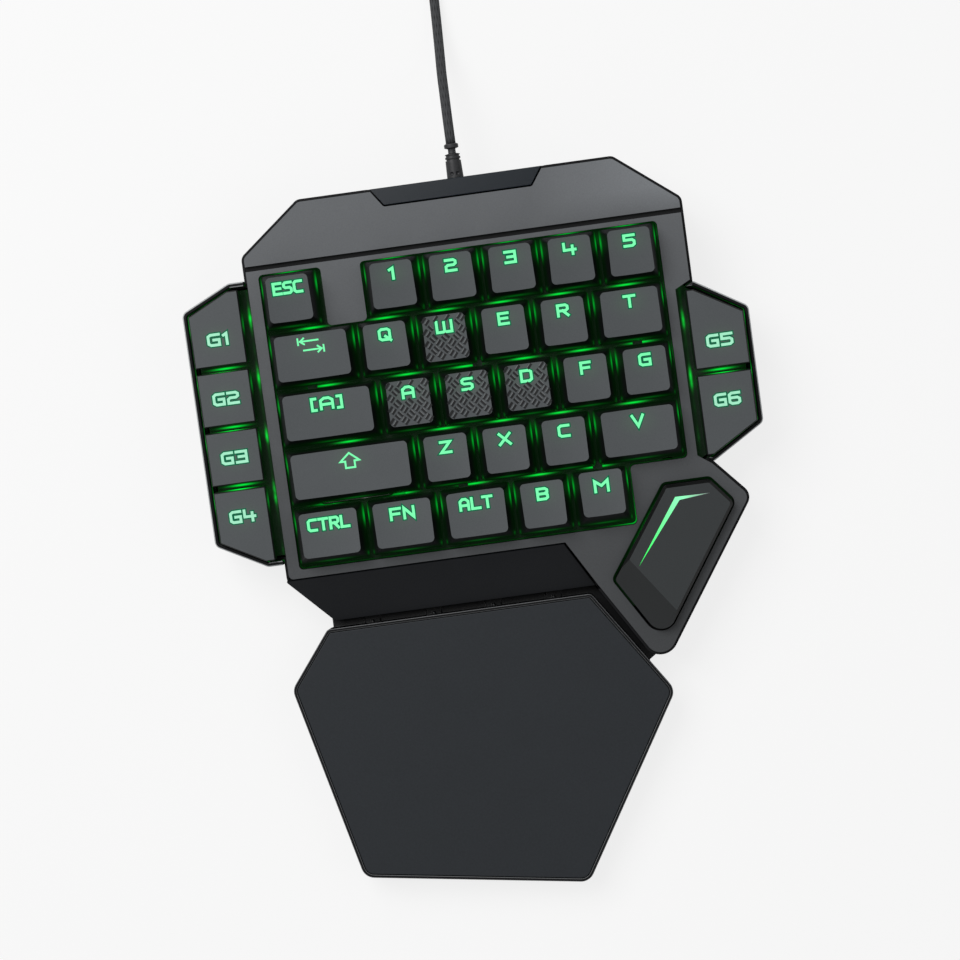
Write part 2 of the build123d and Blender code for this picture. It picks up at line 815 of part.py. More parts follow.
def bottom_case():
    base = foot_height
    outside = prism(case_outline, -half_space, -cover_thick)
    lip = prism(case_outline, -cover_thick, -lip_below)
    lip -= prism(inset(case_outline, lip_wide), -cover_thick, 0)
    lip -= prism(inset(accent_outline, -lip_wide), -cover_thick, 0)
    wings = prism(inset(case_outline, -lip_wide), -wing_wall_below, overrun)
    wings -= prism(trunk_outline, -wing_wall_below, overrun)
    front = prism(inset(panel_outline, -lip_wide), -half_space, overrun)
    front = front & slope_space(panel_thick)
    shell = (outside + lip - wings - front) & deck.inverse() * above_height(base)
    inside = prism(inset(case_outline, case_wall), -half_space, overrun)
    inside = inside & deck.inverse() * above_height(base + case_floor)
    tray = shell - inside
    key_room = -wing_wall_below - key_travel - wing_key_clearance
    wing_room = prism(inset(case_outline, bezel_wall), key_room, overrun)
    tray -= wing_room - prism(trunk_outline, key_room, overrun)
    tray -= accent_space() & block(
        -half_space, half_space, rear_reach - case_wall, rear_reach + overrun, -overrun, overrun
    )
    floor_z = {place: deck_z(place[1], base + case_floor / 2) for place in post_places}
    for x, y in post_places:
        tray += rod(x, y, post_radius, floor_z[(x, y)], plate_top - plate_thick)
    for x, y in boss_places:
        tray += rod(x, y, boss_radius, deck_z(y, base + case_floor / 2), -boss_join)
    for x, y in post_places:
        tray -= rod(x, y, screw_radius, plate_top - plate_thick - post_screw_length, plate_top)
    for x, y in boss_places:
        low = deck_z(y, base)
        tray -= rod(x, y, screw_hole_radius, low - overrun, -boss_join + overrun)
        tray -= rod(
            x, y, screw_head_radius + screw_head_clearance, low - overrun,
            low + case_floor / 2 + screw_head_thick + screw_head_clearance,
        )
    hole = rod(0, 0, relief_root_radius + relief_clearance, -case_wall - relief_flange, overrun)
    return tray - relief_frame() * hole


def case_standing():
    """The tray, stood up, with its slots for the palm rest's tabs and its foot recesses."""
    tray = deck * bottom_case()
    for x in tab_x:
        half = tab_width / 2 + tab_clearance
        tray -= block(
            x - half, x + half, -palm_rear, -palm_rear + tab_reach + tab_clearance,
            tab_height - tab_clearance, tab_height + tab_thick + tab_clearance,
        )
    for x, y in foot_places:
        tray -= rod(x, y, foot_radius + foot_clearance, 0, foot_height + foot_recess)
    return tray


# Top cover
def top_cover():
    flat = prism(inset(cover_outline, cover_inset), -cover_thick, 0)
    reach = cover_inset + skirt_inset
    low = plate_top + skirt_clearance
    skirt = prism(inset(cover_outline, reach), low, -cover_thick)
    skirt -= prism(inset(cover_outline, reach + skirt_wall), low, -cover_thick)
    key_walls = prism(inset(key_well_outline, -well_wall), low, -cover_thick)
    thumb_walls = prism(inset(thumb_well_outline, -well_wall), low, -cover_thick)
    inner_limit = prism(inset(cover_outline, reach), low, -cover_thick)
    cover = flat + skirt + (key_walls & inner_limit) + (thumb_walls & inner_limit)
    for x, y in boss_places:
        cover += rod(x, y, boss_radius, -boss_join, -cover_thick)
    cover -= prism(key_well_outline, -overrun, overrun)
    cover -= prism(thumb_well_outline, -overrun, overrun)
    cover -= block(
        -half_space, half_space, groove_front, groove_front + groove_wide, -groove_deep, overrun
    )
    cover -= accent_space()
    for x, y in boss_places:
        cover -= rod(x, y, screw_radius, -boss_join - overrun, -boss_join + screw_bite)
    return cover


def accent_space():
    """The room round the rear strip, with rounded corners at its front."""
    corners = inset(accent_outline, -accent_gap)
    corners = [(x, y, accent_corner if y < rear_reach else 0) for x, y, radius in corners]
    return prism(corners, -accent_below - accent_thick, overrun)


def rear_accent():
    strip = prism(accent_outline, -accent_below - accent_thick, -accent_below)
    fall = math.degrees(math.atan2(accent_fall, accent_deep))
    frame = Pos(0, rear_reach - accent_deep, -accent_below) * Rot(-fall, 0, 0)
    return strip - frame * block(-half_space, half_space, 0, overrun, 0, overrun)


def front_panel():
    slab = prism(panel_outline, -overrun, overrun)
    slab = slab & slope_space(panel_thick)
    return slab - slope_space(0)


# Bezels round the macro keys
def wing_bezel(corners, inner):
    ring = prism(corners, -wing_wall_below, bezel_above)
    ring -= prism(inset(inner, bezel_wall), -overrun, overrun)
    return ring - prism(trunk_outline, -overrun, overrun)


def left_bezel():
    inner = [(well_wall, y, 0) if x == -left_margin else (x, y, r) for x, y, r in left_wing_outline]
    return wing_bezel(left_wing_outline, inner)


def right_bezel():
    corners = [notch_outline[-1], (right_reach - notch_depth, -right_wing_rear, 0)]
    corners += [(right_reach - notch_depth, -right_wing_front, 0)]
    corners += [(right_wing_front_root, -right_wing_front, 0)] + right_wing_outline
    open_side = right_reach - notch_depth - 2 * bezel_wall
    inner = [(open_side, -right_wing_rear, 0), (open_side, -right_wing_front, 0)]
    inner += [(right_wing_front_root, -right_wing_front, 0)] + right_wing_outline
    inner += [notch_outline[-1]]
    return wing_bezel(corners, inner)


# Fasteners and feet
def screw(head_z, length, up):
    """A screw on the Z axis, with its head's seat at head_z and its shaft towards up."""
    shaft_end = head_z + up * length
    head_end = head_z - up * screw_head_thick
    shaft = rod(0, 0, screw_radius, min(head_z, shaft_end), max(head_z, shaft_end))
    return shaft + rod(0, 0, screw_head_radius, min(head_z, head_end), max(head_z, head_end))


def screws():
    placed = []
    for x, y in post_places:
        placed.append(Pos(x, y, 0) * screw(plate_top, post_screw_length - screw_head_clearance, -1))
    for x, y in boss_places:
        seat = deck_z(y, foot_height) + case_floor / 2 + screw_head_thick + screw_head_clearance
        placed.append(Pos(x, y, 0) * screw(seat, -boss_join + screw_bite - cross_clearance - seat, 1))
    return placed


def feet(places):
    return [rod(x, y, foot_radius, 0, foot_height + foot_recess) for x, y in places]


# Palm rest
def palm_space(low, high):
    far = half_space
    return palm_deck * block(-far, far, -far, far, low, high)


def ledge_outline():
    """The low ledge behind the palm rest and along its edge beside the thumb wing."""
    side_x = palm_right_x - palm_rear_right
    side_y = palm_rear - palm_right_y
    along = Vector(side_x, side_y).normalized()
    end = Vector(palm_rear_right + ledge_side_share * side_x, -palm_rear + ledge_side_share * side_y)
    out = Vector(-along.Y, along.X)
    inner, outer = end - out * (palm_wall / 2), end + out * ledge_reach
    corner_x = palm_rear_right + ledge_reach
    return [
        (outer.X, outer.Y, 0),
        (corner_x, -palm_rear + ledge_reach, 0),
        (palm_rear_left + ledge_left_in, -palm_rear + ledge_reach, 0),
        (palm_rear_left + ledge_left_in, -palm_rear - palm_wall / 2, 0),
        (palm_rear_right - palm_wall / 2, -palm_rear - palm_wall / 2, 0),
        (inner.X, inner.Y, 0),
    ]


def palm_ledge():
    """The ledge and the thin ribs on it, kept clear of the case."""
    ledge = prism(ledge_outline(), ledge_low, ledge_top)
    for x in tab_x:
        ledge += block(
            x - tick_width / 2, x + tick_width / 2, -palm_rear - palm_wall / 2, -palm_rear + tick_reach,
            ledge_low, tick_top,
        )
    return ledge - deck * prism(inset(case_outline, -ledge_clearance), -half_space, half_space)


def palm_base():
    outer = prism(palm_outline, foot_height, deck_height) & palm_space(-half_space, 0)
    recess = prism(inset(palm_outline, pad_inset - pad_clearance), 0, deck_height)
    recess = recess & palm_space(-pad_thick, half_space)
    room = prism(inset(palm_outline, palm_wall), foot_height + palm_floor, deck_height)
    long = palm_front_right_y - palm_rear
    for share in rib_shares:
        y = -palm_rear - share * long
        room -= block(-half_space, half_space, y - rib_thick / 2, y + rib_thick / 2, 0, deck_height)
    base = outer - recess - (room & palm_space(-half_space, -pad_thick)) + palm_ledge()
    for x in tab_x:
        base += block(
            x - tab_width / 2, x + tab_width / 2, -palm_rear - palm_wall / 2, -palm_rear + tab_reach,
            tab_height, tab_height + tab_thick,
        )
    for x, y in palm_foot_places:
        base -= rod(x, y, foot_radius + foot_clearance, 0, foot_height + foot_recess)
    return base


def palm_pad():
    return prism(inset(palm_outline, pad_inset), 0, deck_height) & palm_space(-pad_thick, 0)


# Strain relief, cord, coil, tie and plug
def strain_relief():
    ring_low = relief_length + relief_neck
    ring_high = ring_low + relief_ring
    profile = [
        (0, -case_wall - relief_flange), (relief_flange_radius, -case_wall - relief_flange),
        (relief_flange_radius, -case_wall), (relief_root_radius, -case_wall),
        (relief_root_radius, 0), (relief_tip_radius, relief_length - relief_ease),
        (relief_neck_radius, relief_length), (relief_neck_radius, ring_low),
        (relief_ring_radius, ring_low + relief_ease), (relief_ring_radius, ring_high - relief_ease),
        (lead_in_radius, ring_high), (0, ring_high),
    ]
    face = Face(Wire.make_polygon([Vector(r, 0, z) for r, z in profile], close=True))
    relief = revolve(face, Axis.Z)
    for i in range(relief_band_count):
        low = relief_length - 2 * (i + 1) * relief_band
        ring = rod(0, 0, relief_ring_radius + relief_flange_radius, low, low + relief_band)
        relief -= ring - rod(0, 0, relief_tip_radius - relief_band_deep, low, low + relief_band)
    for side in (-relief_dimple_side, relief_dimple_side):
        relief -= Pos(side, -relief_root_radius, relief_dimple_up) * Sphere(relief_dimple_radius)
    return deck * relief_frame() * relief


relief_reach = relief_length + relief_neck + relief_ring
exit_point = deck * relief_frame() * Pos(0, 0, relief_reach)
exit_place = exit_point.position
cord_radius = cord_diameter / 2

# The cord's free stretch: points chosen by hand, from the strain relief to the coil
exit_run = 7.0
cord_route = [
    tuple(exit_place),
    tuple((exit_point * Pos(0, 0, exit_run)).position),
    (67.1, 51.0, 14.6),
    (67.1, 57.5, 11.3),
    (67.3, 63.0, 8.2),
    (67.6, 72.5, 4.0),
    (67.9, 83.5, 2.1),
    (68.05, 95.5, 1.9),
    (68.0, 107.0, 2.3),
    (68.0, 118.0, 2.6),
    (coil_x + coil_radius, coil_y, coil_lift),
]
tail_height = coil_lift + (coil_layers - 1) * coil_layer
plug_route = [
    (coil_x + coil_radius, coil_y, tail_height),
    (68.0, 139.5, tail_height),
    (66.2, 151.0, 11.4),
    (59.6, 160.2, 8.2),
    (49.5, 165.4, 5.4),
    (39.5, 166.3, 4.0),
    (29.5, 166.3, 4.0),
]


def route_radii(points):
    """Arc radii for a cord's corners: as large as the two runs beside each corner allow."""
    radii = []
    for a, b, c in zip(points, points[1:], points[2:]):
        before, after = Vector(b) - Vector(a), Vector(c) - Vector(b)
        half = math.radians(before.get_angle(after)) / 2
        radii.append(bend_share * min(before.length, after.length) / math.tan(half))
    return radii


def cord_tube(points, name):
    radii = route_radii(points)
    path = FilletPolyline(*points, radius=radii)
    start = Vector(points[1]) - Vector(points[0])
    tube = sweep(Plane(origin=points[0], z_dir=start) * Circle(cord_radius), path=path)
    expected = math.pi * cord_radius ** 2 * path.length
    print(name, "length", round(path.length, 1), "volume share", round(tube.volume / expected, 4))
    print(name, "radii", [round(r, 1) for r in radii])
    return tube


def coil_stations():
    """Angle in turns, radius and height along the coil: in, up, out, up, in, up, out."""
    inner = coil_radius - turns_per_layer * coil_pitch
    stations, turn = [], 0.0
    for layer in range(coil_layers):
        inward = layer % 2 == 0
        start, end = (coil_radius, inner) if inward else (inner, coil_radius)
        height = coil_lift + layer * coil_layer
        steps = round(turns_per_layer * steps_per_turn)
        for i in range(steps + 1):
            share = i / steps
            stations.append((turn + share * turns_per_layer, start + (end - start) * share, height))
        turn += turns_per_layer
        if layer + 1 < coil_layers:
            for i in range(1, climb_steps):
                rise = (1 - math.cos(math.pi * i / climb_steps)) / 2
                stations.append((turn + i / steps_per_turn, end, height + coil_layer * rise))
            turn += climb_steps / steps_per_turn
    return stations


def coil_points():
    points = []
    for turn, radius, height in coil_stations():
        angle = 2 * math.pi * turn
        points.append(Vector(coil_x + radius * math.cos(angle), coil_y + radius * math.sin(angle), height))
    return points


def biarc(p0, t0, p1, t1):
    """Two arcs that leave p0 along t0 and reach p1 along t1, tangent to each other."""
    step, both = p1 - p0, t0 + t1
    a = 2 * (1 - t0.dot(t1))
    b = 2 * step.dot(both)
    reach = (math.sqrt(b * b + 4 * a * step.dot(step)) - b) / (2 * a)
    joint = (p0 + t0 * reach + p1 - t1 * reach) * 0.5
    second = Edge.make_tangent_arc(p1, t1 * -1, joint)
    return [Edge.make_tangent_arc(p0, t0, joint), second]


def coil_wire():
    points = coil_points()
    tangents = []
    for i, point in enumerate(points):
        before, after = points[max(i - 1, 0)], points[min(i + 1, len(points) - 1)]
        tangents.append((after - before).normalized())
    tangents[0] = Vector(0, 1, 0)
    tangents[-1] = Vector(0, 1, 0)
    edges = []
    for i in range(0, len(points) - 1, 2):
        j = min(i + 2, len(points) - 1)
        edges += biarc(points[i], tangents[i], points[j], tangents[j])
    return Wire(edges)


def least_gap(wire, count=gap_samples):
    """The least clear distance between stretches of the coil that lie over half a turn apart."""
    spots = [wire.position_at(i / count) for i in range(count + 1)]
    apart = int(count * math.pi * coil_radius / wire.length)
    nearest = half_space
    for i, spot in enumerate(spots):
        for other in spots[i + apart:]:
            nearest = min(nearest, (other - spot).length)
    return nearest - cord_diameter


def cord_coil():
    wire = coil_wire()
    tube = sweep(
        Plane(origin=coil_points()[0], z_dir=(0, 1, 0)) * Circle(cord_radius), path=wire
    )
    print("coil length", round(wire.length, 1), "least gap to itself", round(least_gap(wire), 2))
    print("coil volume share", round(tube.volume / (math.pi * cord_radius ** 2 * wire.length), 4))
    return tube


def cord_tie():
    """A flat strap wrapped once round all of the coil's turns, on the side away from the cord."""
    inner = coil_radius - turns_per_layer * coil_pitch - cord_radius - tie_clearance
    outer = coil_radius + cord_radius + tie_clearance
    low = coil_lift - cord_radius - tie_clearance / 2
    high = tail_height + cord_radius + tie_clearance
    edge = cord_radius
    middle = Pos(coil_x - (inner + outer) / 2, coil_y, (low + high) / 2) * Rot(90, 0, 0)
    hole = middle * extrude(RectangleRounded(outer - inner, high - low, edge), tie_width, both=True)
    strap = middle * extrude(
        RectangleRounded(outer - inner + 2 * tie_wall, high - low + 2 * tie_wall, edge + tie_wall),
        tie_width / 2, both=True,
    )
    return strap - hole


def plug_frame():
    """A frame at the plug's cord end, +Z pointing along the plug towards its shell."""
    return Pos(*plug_route[-1]) * Rot(0, -90, 0)


def plug_grip():
    neck = loft([
        Circle(lead_in_radius + relief_clearance),
        Pos(0, 0, plug_neck_length) * Circle(plug_neck_radius),
    ])
    body = extrude(RectangleRounded(plug_grip_thick, plug_grip_width, plug_grip_radius), plug_grip_length)
    return plug_frame() * (neck + Pos(0, 0, plug_neck_length) * body)


def plug_shell():
    low = plug_neck_length + plug_grip_length
    middle = Pos(0, 0, low + plug_shell_length / 2)
    shell = middle * Box(plug_shell_thick, plug_shell_width, plug_shell_length)
    shell -= middle * Box(
        plug_shell_thick - 2 * plug_shell_wall, plug_shell_width - 2 * plug_shell_wall, plug_shell_length
    )
    tongue_x = plug_tongue_thick / 2 - plug_shell_thick / 2 + plug_shell_wall
    tongue = Pos(tongue_x, 0, low + (plug_shell_length - plug_tongue_short) / 2) * Box(
        plug_tongue_thick, plug_shell_width - 2 * plug_shell_wall, plug_shell_length - plug_tongue_short
    )
    return [plug_frame() * shell, plug_frame() * tongue]


# Make every node
def make_keys():
    nodes = {}
    stem = switch_stem()
    insert = stabiliser_insert()
    for name, (row, start, units) in key_unit_shares.items():
        x, y = main_places[name]
        back = odd_cap_back if name == "key_m" else 0.0
        cap, ceiling = main_cap(row, units, back)
        pieces = [stem]
        if name == "key_shift":
            for side in (-1, 1):
                cap += Pos(side * insert_reach, 0, 0) * cap_socket(ceiling + cap_roof / 2)
                pieces.append(Pos(side * insert_reach, 0, 0) * insert)
        place = deck * Pos(x, y, plate_top)
        nodes[name] = [place * piece for piece in [cap] + pieces]
    for i, (corners, place) in enumerate(zip(macro_outlines(), macro_places())):
        cap = macro_cap(corners, place)
        stem_there = Pos(place[0], place[1], plate_top) * stem
        nodes["key_g%d" % (i + 1)] = [deck * cap, deck * stem_there]
    nodes["key_thumb"] = [deck * thumb_cap(), deck * thumb_spot * stem]
    nodes["thumb_light_bar"] = [deck * thumb_bar()]
    return nodes


def make_inside():
    base, cover, spring, light = switch_base(), switch_cover(), switch_spring(), switch_light()
    housings = [deck * spot * piece for spot in switch_spots for piece in (base, cover)]
    return {
        "switch_plate": [deck * switch_plate()],
        "circuit_board": [deck * circuit_board()],
        "switch_housings": housings,
        "key_springs": [deck * spot * spring for spot in switch_spots],
        "key_lights": [deck * spot * light for spot in switch_spots],
        "stabiliser_housings": [deck * spot * stabiliser_housing() for spot in stabiliser_spots()],
        "stabiliser_wire": [deck * stabiliser_wire()],
    }


def make_case():
    return {
        "bottom_case": [case_standing()],
        "top_cover": [deck * top_cover()],
        "rear_accent": [deck * rear_accent()],
        "front_panel": [deck * front_panel()],
        "left_bezel": [deck * left_bezel()],
        "right_bezel": [deck * right_bezel()],
        "screws": [deck * piece for piece in screws()],
        "case_feet": feet(foot_places),
        "strain_relief": [strain_relief()],
        "palm_rest_base": [palm_base()],
        "palm_rest_pad": [palm_pad()],
        "palm_rest_feet": feet(palm_foot_places),
    }


def make_cord():
    return {
        "usb_cord": [cord_tube(cord_route, "cord"), cord_tube(plug_route, "tail")],
        "usb_cord_coil": [cord_coil()],
        "cord_tie": [cord_tie()],
        "usb_plug_grip": [plug_grip()],
        "usb_plug_shell": plug_shell(),
    }


def main():
    nodes = {**make_case(), **make_inside(), **make_keys()}
    on_object = Compound([solid for pieces in nodes.values() for p in pieces for solid in solids_of(p)])
    box = on_object.bounding_box()
    home = Pos(-(box.min.X + box.max.X) / 2, -(box.min.Y + box.max.Y) / 2, -box.min.Z)
    nodes.update(make_cord())
    for name, pieces in nodes.items():
        solids = [home * solid for piece in pieces for solid in solids_of(piece)]
        shape = solids[0] if len(solids) == 1 else Compound(solids)
        export_step(shape, "parts/%s.step" % name)
    print("home shift", home.position)
    print("exit", home * exit_point)
    print("size", box.size)


main()
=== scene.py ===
import json
import math

import bmesh
import bpy
from mathutils import Matrix, Vector
from mathutils.bvhtree import BVHTree


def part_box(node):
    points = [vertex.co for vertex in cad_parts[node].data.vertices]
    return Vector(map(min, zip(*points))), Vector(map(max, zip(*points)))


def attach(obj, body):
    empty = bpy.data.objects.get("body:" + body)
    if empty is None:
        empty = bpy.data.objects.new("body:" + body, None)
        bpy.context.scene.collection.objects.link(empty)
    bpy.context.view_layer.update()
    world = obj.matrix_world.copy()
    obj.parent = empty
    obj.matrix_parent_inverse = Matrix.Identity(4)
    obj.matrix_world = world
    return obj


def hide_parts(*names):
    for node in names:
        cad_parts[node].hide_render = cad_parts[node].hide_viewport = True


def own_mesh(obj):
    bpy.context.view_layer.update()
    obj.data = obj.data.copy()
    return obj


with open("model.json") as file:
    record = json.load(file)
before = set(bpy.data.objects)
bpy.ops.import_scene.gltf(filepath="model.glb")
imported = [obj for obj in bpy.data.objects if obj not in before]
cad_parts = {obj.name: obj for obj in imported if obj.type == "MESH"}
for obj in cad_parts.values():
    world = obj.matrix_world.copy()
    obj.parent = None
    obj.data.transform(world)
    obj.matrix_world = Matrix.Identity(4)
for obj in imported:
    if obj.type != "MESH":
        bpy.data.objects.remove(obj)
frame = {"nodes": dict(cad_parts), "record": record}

bpy.ops.object.select_all(action="DESELECT")
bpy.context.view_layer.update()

# Viewing place: the keypad lies on a pale table and is seen from almost straight above.
# A wide soft lamp hangs behind it on the left, with weaker ones on the right and in front.
camera_place = (0.0098, 0.0040, 0.8901)
camera_turn = (0.429, 0.890, -7.785)
camera_lens, camera_sensor = 101.07, 36.0
view_start, view_end = 0.01, 20.0
lamps = (
    ("rear_softbox", (-0.48, 0.58, 1.00), 0.85, 10.0),
    ("side_softbox", (0.75, -0.15, 1.00), 0.70, 1.3),
    ("front_softbox", (-0.20, -0.95, 0.90), 0.80, 1.2),
)
white = (1.0, 1.0, 1.0, 1.0)
sky_level = 0.20
floor_grey, floor_roughness = (0.9, 0.9, 0.9), 0.9
floor_glow_share = 0.8
floor_reach = 8.0


def make_only(piece):
    """Makes a piece the only selected object, and the active one."""
    bpy.ops.object.select_all(action="DESELECT")
    piece.select_set(True)
    bpy.context.view_layer.objects.active = piece


def add_object(name, data):
    """Puts a mesh, lamp, curve or camera into the scene as an object."""
    made = bpy.data.objects.new(name, data)
    bpy.context.collection.objects.link(made)
    return made


def feed(tree, socket, value):
    """Joins a socket to another, or sets its value."""
    if isinstance(value, bpy.types.NodeSocket):
        tree.links.new(value, socket)
    else:
        socket.default_value = value


def add_node(tree, kind, settings=None, inputs=None, output=0):
    """Adds a shader node, fills its inputs, and gives back one of its outputs."""
    made = tree.nodes.new("ShaderNode" + kind)
    for name, value in (settings or {}).items():
        setattr(made, name, value)
    for name, value in (inputs or {}).items():
        feed(tree, made.inputs[name], value)
    return made.outputs[output]


def compute(tree, operation, *values):
    """The result of a sum on numbers."""
    return add_node(tree, "Math", {"operation": operation}, dict(enumerate(values)))


def new_material(name, colour, roughness, gloss=0.5, metallic=0.0):
    """A material, its node tree and its Principled shader with its constants set."""
    made = bpy.data.materials.new(name)
    made.use_nodes = True
    shader = made.node_tree.nodes["Principled BSDF"]
    shader.inputs["Base Color"].default_value = (*colour, 1.0)
    shader.inputs["Roughness"].default_value = roughness
    shader.inputs["Specular IOR Level"].default_value = gloss
    shader.inputs["Metallic"].default_value = metallic
    return made, made.node_tree, shader


camera_data = bpy.data.cameras.new("viewing_camera")
camera_data.lens, camera_data.sensor_width = camera_lens, camera_sensor
camera_data.clip_start, camera_data.clip_end = view_start, view_end
camera = add_object("viewing_camera", camera_data)
camera.location = camera_place
camera.rotation_euler = [math.radians(turn) for turn in camera_turn]
bpy.context.scene.camera = camera
bpy.context.scene.view_settings.view_transform = "Standard"

for lamp_name, lamp_place, lamp_side, lamp_power in lamps:
    lamp_data = bpy.data.lights.new(lamp_name, "AREA")
    lamp_data.size, lamp_data.energy = lamp_side, lamp_power
    lamp = add_object(lamp_name, lamp_data)
    lamp.location = lamp_place
    lamp.rotation_euler = (-Vector(lamp_place)).to_track_quat("-Z", "Y").to_euler()
    lamp.visible_camera = False

world = bpy.data.worlds.new("pale_room")
world.use_nodes = True
tree = world.node_tree
rays = tree.nodes.new("ShaderNodeLightPath").outputs
direct = compute(tree, "MAXIMUM", rays["Is Camera Ray"], rays["Is Transmission Ray"])
direct = compute(tree, "MULTIPLY_ADD", direct, 1.0 - sky_level, sky_level)
feed(tree, tree.nodes["Background"].inputs["Color"], white)
feed(tree, tree.nodes["Background"].inputs["Strength"], direct)
bpy.context.scene.world = world

bpy.ops.mesh.primitive_plane_add(size=floor_reach)
floor = bpy.context.active_object
floor.name = "floor"
material, tree, shader = new_material("pale_floor", floor_grey, floor_roughness, gloss=0.0)
rays = tree.nodes.new("ShaderNodeLightPath").outputs
glow_share = compute(tree, "MULTIPLY", rays["Is Camera Ray"], floor_glow_share)
glow = add_node(tree, "Emission", None, {"Color": white, "Strength": 1.0})
floor_mix = add_node(tree, "MixShader", None, {0: glow_share, 1: shader.outputs[0], 2: glow})
feed(tree, tree.nodes["Material Output"].inputs["Surface"], floor_mix)
floor.data.materials.append(material)

# Lead: a round cord in a braided sleeve. It leaves the rear of the case through its strain
# relief and runs straight back; the rest is stored in a tied coil behind the keypad.
cord_diameter = 0.0032
cord_sides = 12
curve_steps, curve_order = 6, 3
coil_centre = (-0.0204, 0.216778)
coil_radius = 0.024
coil_pitch = 0.0043
coil_layer = 0.00375
coil_layers = 4
coil_lift = 0.0026
turns_per_layer = 2.875
turn_points = 16
braid_strands, braid_pitch = 10, 0.0062
braid_depth = 0.0003
braid_hollow_shade, braid_crown_sheen = (0.006, 0.006, 0.007), (0.055, 0.058, 0.062)
exit_place = (0.00265, 0.1216, 0.018237)
free_route = [
    exit_place, (0.00265, 0.128583, 0.018725), (0.0027, 0.138778, 0.0146),
    (0.0027, 0.145278, 0.0113), (0.0029, 0.150778, 0.0082), (0.0032, 0.160278, 0.0040),
    (0.0035, 0.171278, 0.0021), (0.00365, 0.183278, 0.0019), (0.0036, 0.194778, 0.0023),
    (0.0036, 0.205778, 0.0026),
]
plug_route = [
    (0.0036, 0.227278, 0.01385), (0.0018, 0.238778, 0.0114), (-0.0048, 0.247978, 0.0082),
    (-0.0149, 0.253178, 0.0054), (-0.0249, 0.254078, 0.0040), (-0.0349, 0.254078, 0.0040),
]


def coil_route():
    """The coil's turns, layer on layer, wound inwards and outwards by turns."""
    inner = coil_radius - turns_per_layer * coil_pitch
    # A spline of order 3 cuts its corners, so its points are let out to keep the radius.
    let_out = 8.0 / (6.0 + 2.0 * math.cos(2.0 * math.pi / turn_points))
    stations, turn = [], 0.0
    for layer in range(coil_layers):
        start, end = (coil_radius, inner) if layer % 2 == 0 else (inner, coil_radius)
        height = coil_lift + layer * coil_layer
        steps = round(turns_per_layer * turn_points)
        for i in range(steps + 1):
            share = i / steps
            stations.append((turn + share * turns_per_layer, start + (end - start) * share, height))
        turn += turns_per_layer
        if layer + 1 < coil_layers:
            climb = turn_points // 2
            for i in range(1, climb):
                rise = (1 - math.cos(math.pi * i / climb)) / 2
                stations.append((turn + i / turn_points, end, height + coil_layer * rise))
            turn += 0.5
    spots = []
    for turn, radius, height in stations:
        angle = 2 * math.pi * turn
        spots.append((coil_centre[0] + let_out * radius * math.cos(angle),
                      coil_centre[1] + let_out * radius * math.sin(angle), height))
    return spots


def spline_line(name, route):
    """The smooth line through a route, as points, read from its NURBS spline."""
    curve = bpy.data.curves.new(name, "CURVE")
    curve.dimensions = "3D"
    curve.resolution_u = curve_steps
    spline = curve.splines.new("NURBS")
    spline.points.add(len(route) - 1)
    for spot, place in zip(spline.points, route):
        spot.co = (*place, 1.0)
    spline.order_u = curve_order
    spline.use_endpoint_u = True
    holder = add_object(name, curve)
    bpy.context.view_layer.update()
    line_mesh = bpy.data.meshes.new_from_object(holder)
    line = [vertex.co.copy() for vertex in line_mesh.vertices]
    bpy.data.objects.remove(holder)
    bpy.data.meshes.remove(line_mesh)
    return line


def make_tube(name, line, radius, sides):
    """A round tube along a line, with a UV map in metres along it and in turns around it."""
    mesh = bpy.data.meshes.new(name)
    work = bmesh.new()
    uv = work.loops.layers.uv.new("UVMap")
    across = Vector((0.0, 0.0, 1.0))
    rings, marks, run = [], [], 0.0
    for i, spot in enumerate(line):
        ahead = line[min(i + 1, len(line) - 1)] - line[max(i - 1, 0)]
        ahead.normalize()
        across = (across - ahead * across.dot(ahead)).normalized()
        other = ahead.cross(across)
        ring = []
        for k in range(sides):
            angle = 2 * math.pi * k / sides
            outward = across * math.cos(angle) + other * math.sin(angle)
            ring.append(work.verts.new(spot + radius * outward))
        if i:
            run += (spot - line[i - 1]).length
        rings.append(ring)
        marks.append(run)
    for i in range(len(rings) - 1):
        for k in range(sides):
            after = (k + 1) % sides
            face = work.faces.new((rings[i][k], rings[i][after],
                                   rings[i + 1][after], rings[i + 1][k]))
            face.smooth = True
            corners = ((i, k), (i, k + 1), (i + 1, k + 1), (i + 1, k))
            for loop, (u, v) in zip(face.loops, corners):
                loop[uv].uv = (marks[u], v / sides)
    work.faces.new(rings[0][::-1])
    work.faces.new(rings[-1])
    work.to_mesh(mesh)
    work.free()
    return add_object(name, mesh)


def new_group(name, inputs, outputs):
    """An empty shader node group with its input and output nodes. A Normal is a vector."""
    tree = bpy.data.node_groups.new(name, "ShaderNodeTree")
    for way, sockets in (("INPUT", inputs), ("OUTPUT", outputs)):
        for socket in sockets:
            kind = "NodeSocketVector" if socket == "Normal" else "NodeSocketFloat"
            tree.interface.new_socket(socket, in_out=way, socket_type=kind)
    return tree, tree.nodes.new("NodeGroupInput"), tree.nodes.new("NodeGroupOutput")


def place_group(tree, group, inputs):
    """Places a shader node group in a material, and gives back its outputs."""
    made = tree.nodes.new("ShaderNodeGroup")
    made.node_tree = group
    for name, value in inputs.items():
        feed(tree, made.inputs[name], value)
    return made.outputs


def place_of(tree, output="Object"):
    """Where a spot of the surface lies, or how it faces."""
    return add_node(tree, "TexCoord", None, None, output)


def shade_between(tree, share, low, high):
    """A colour between two, by a share. Either may be a socket."""
    low, high = [(*end, 1.0) if isinstance(end, tuple) else end for end in (low, high)]
    return add_node(tree, "Mix", {"data_type": "RGBA"}, {0: share, 6: low, 7: high}, 2)


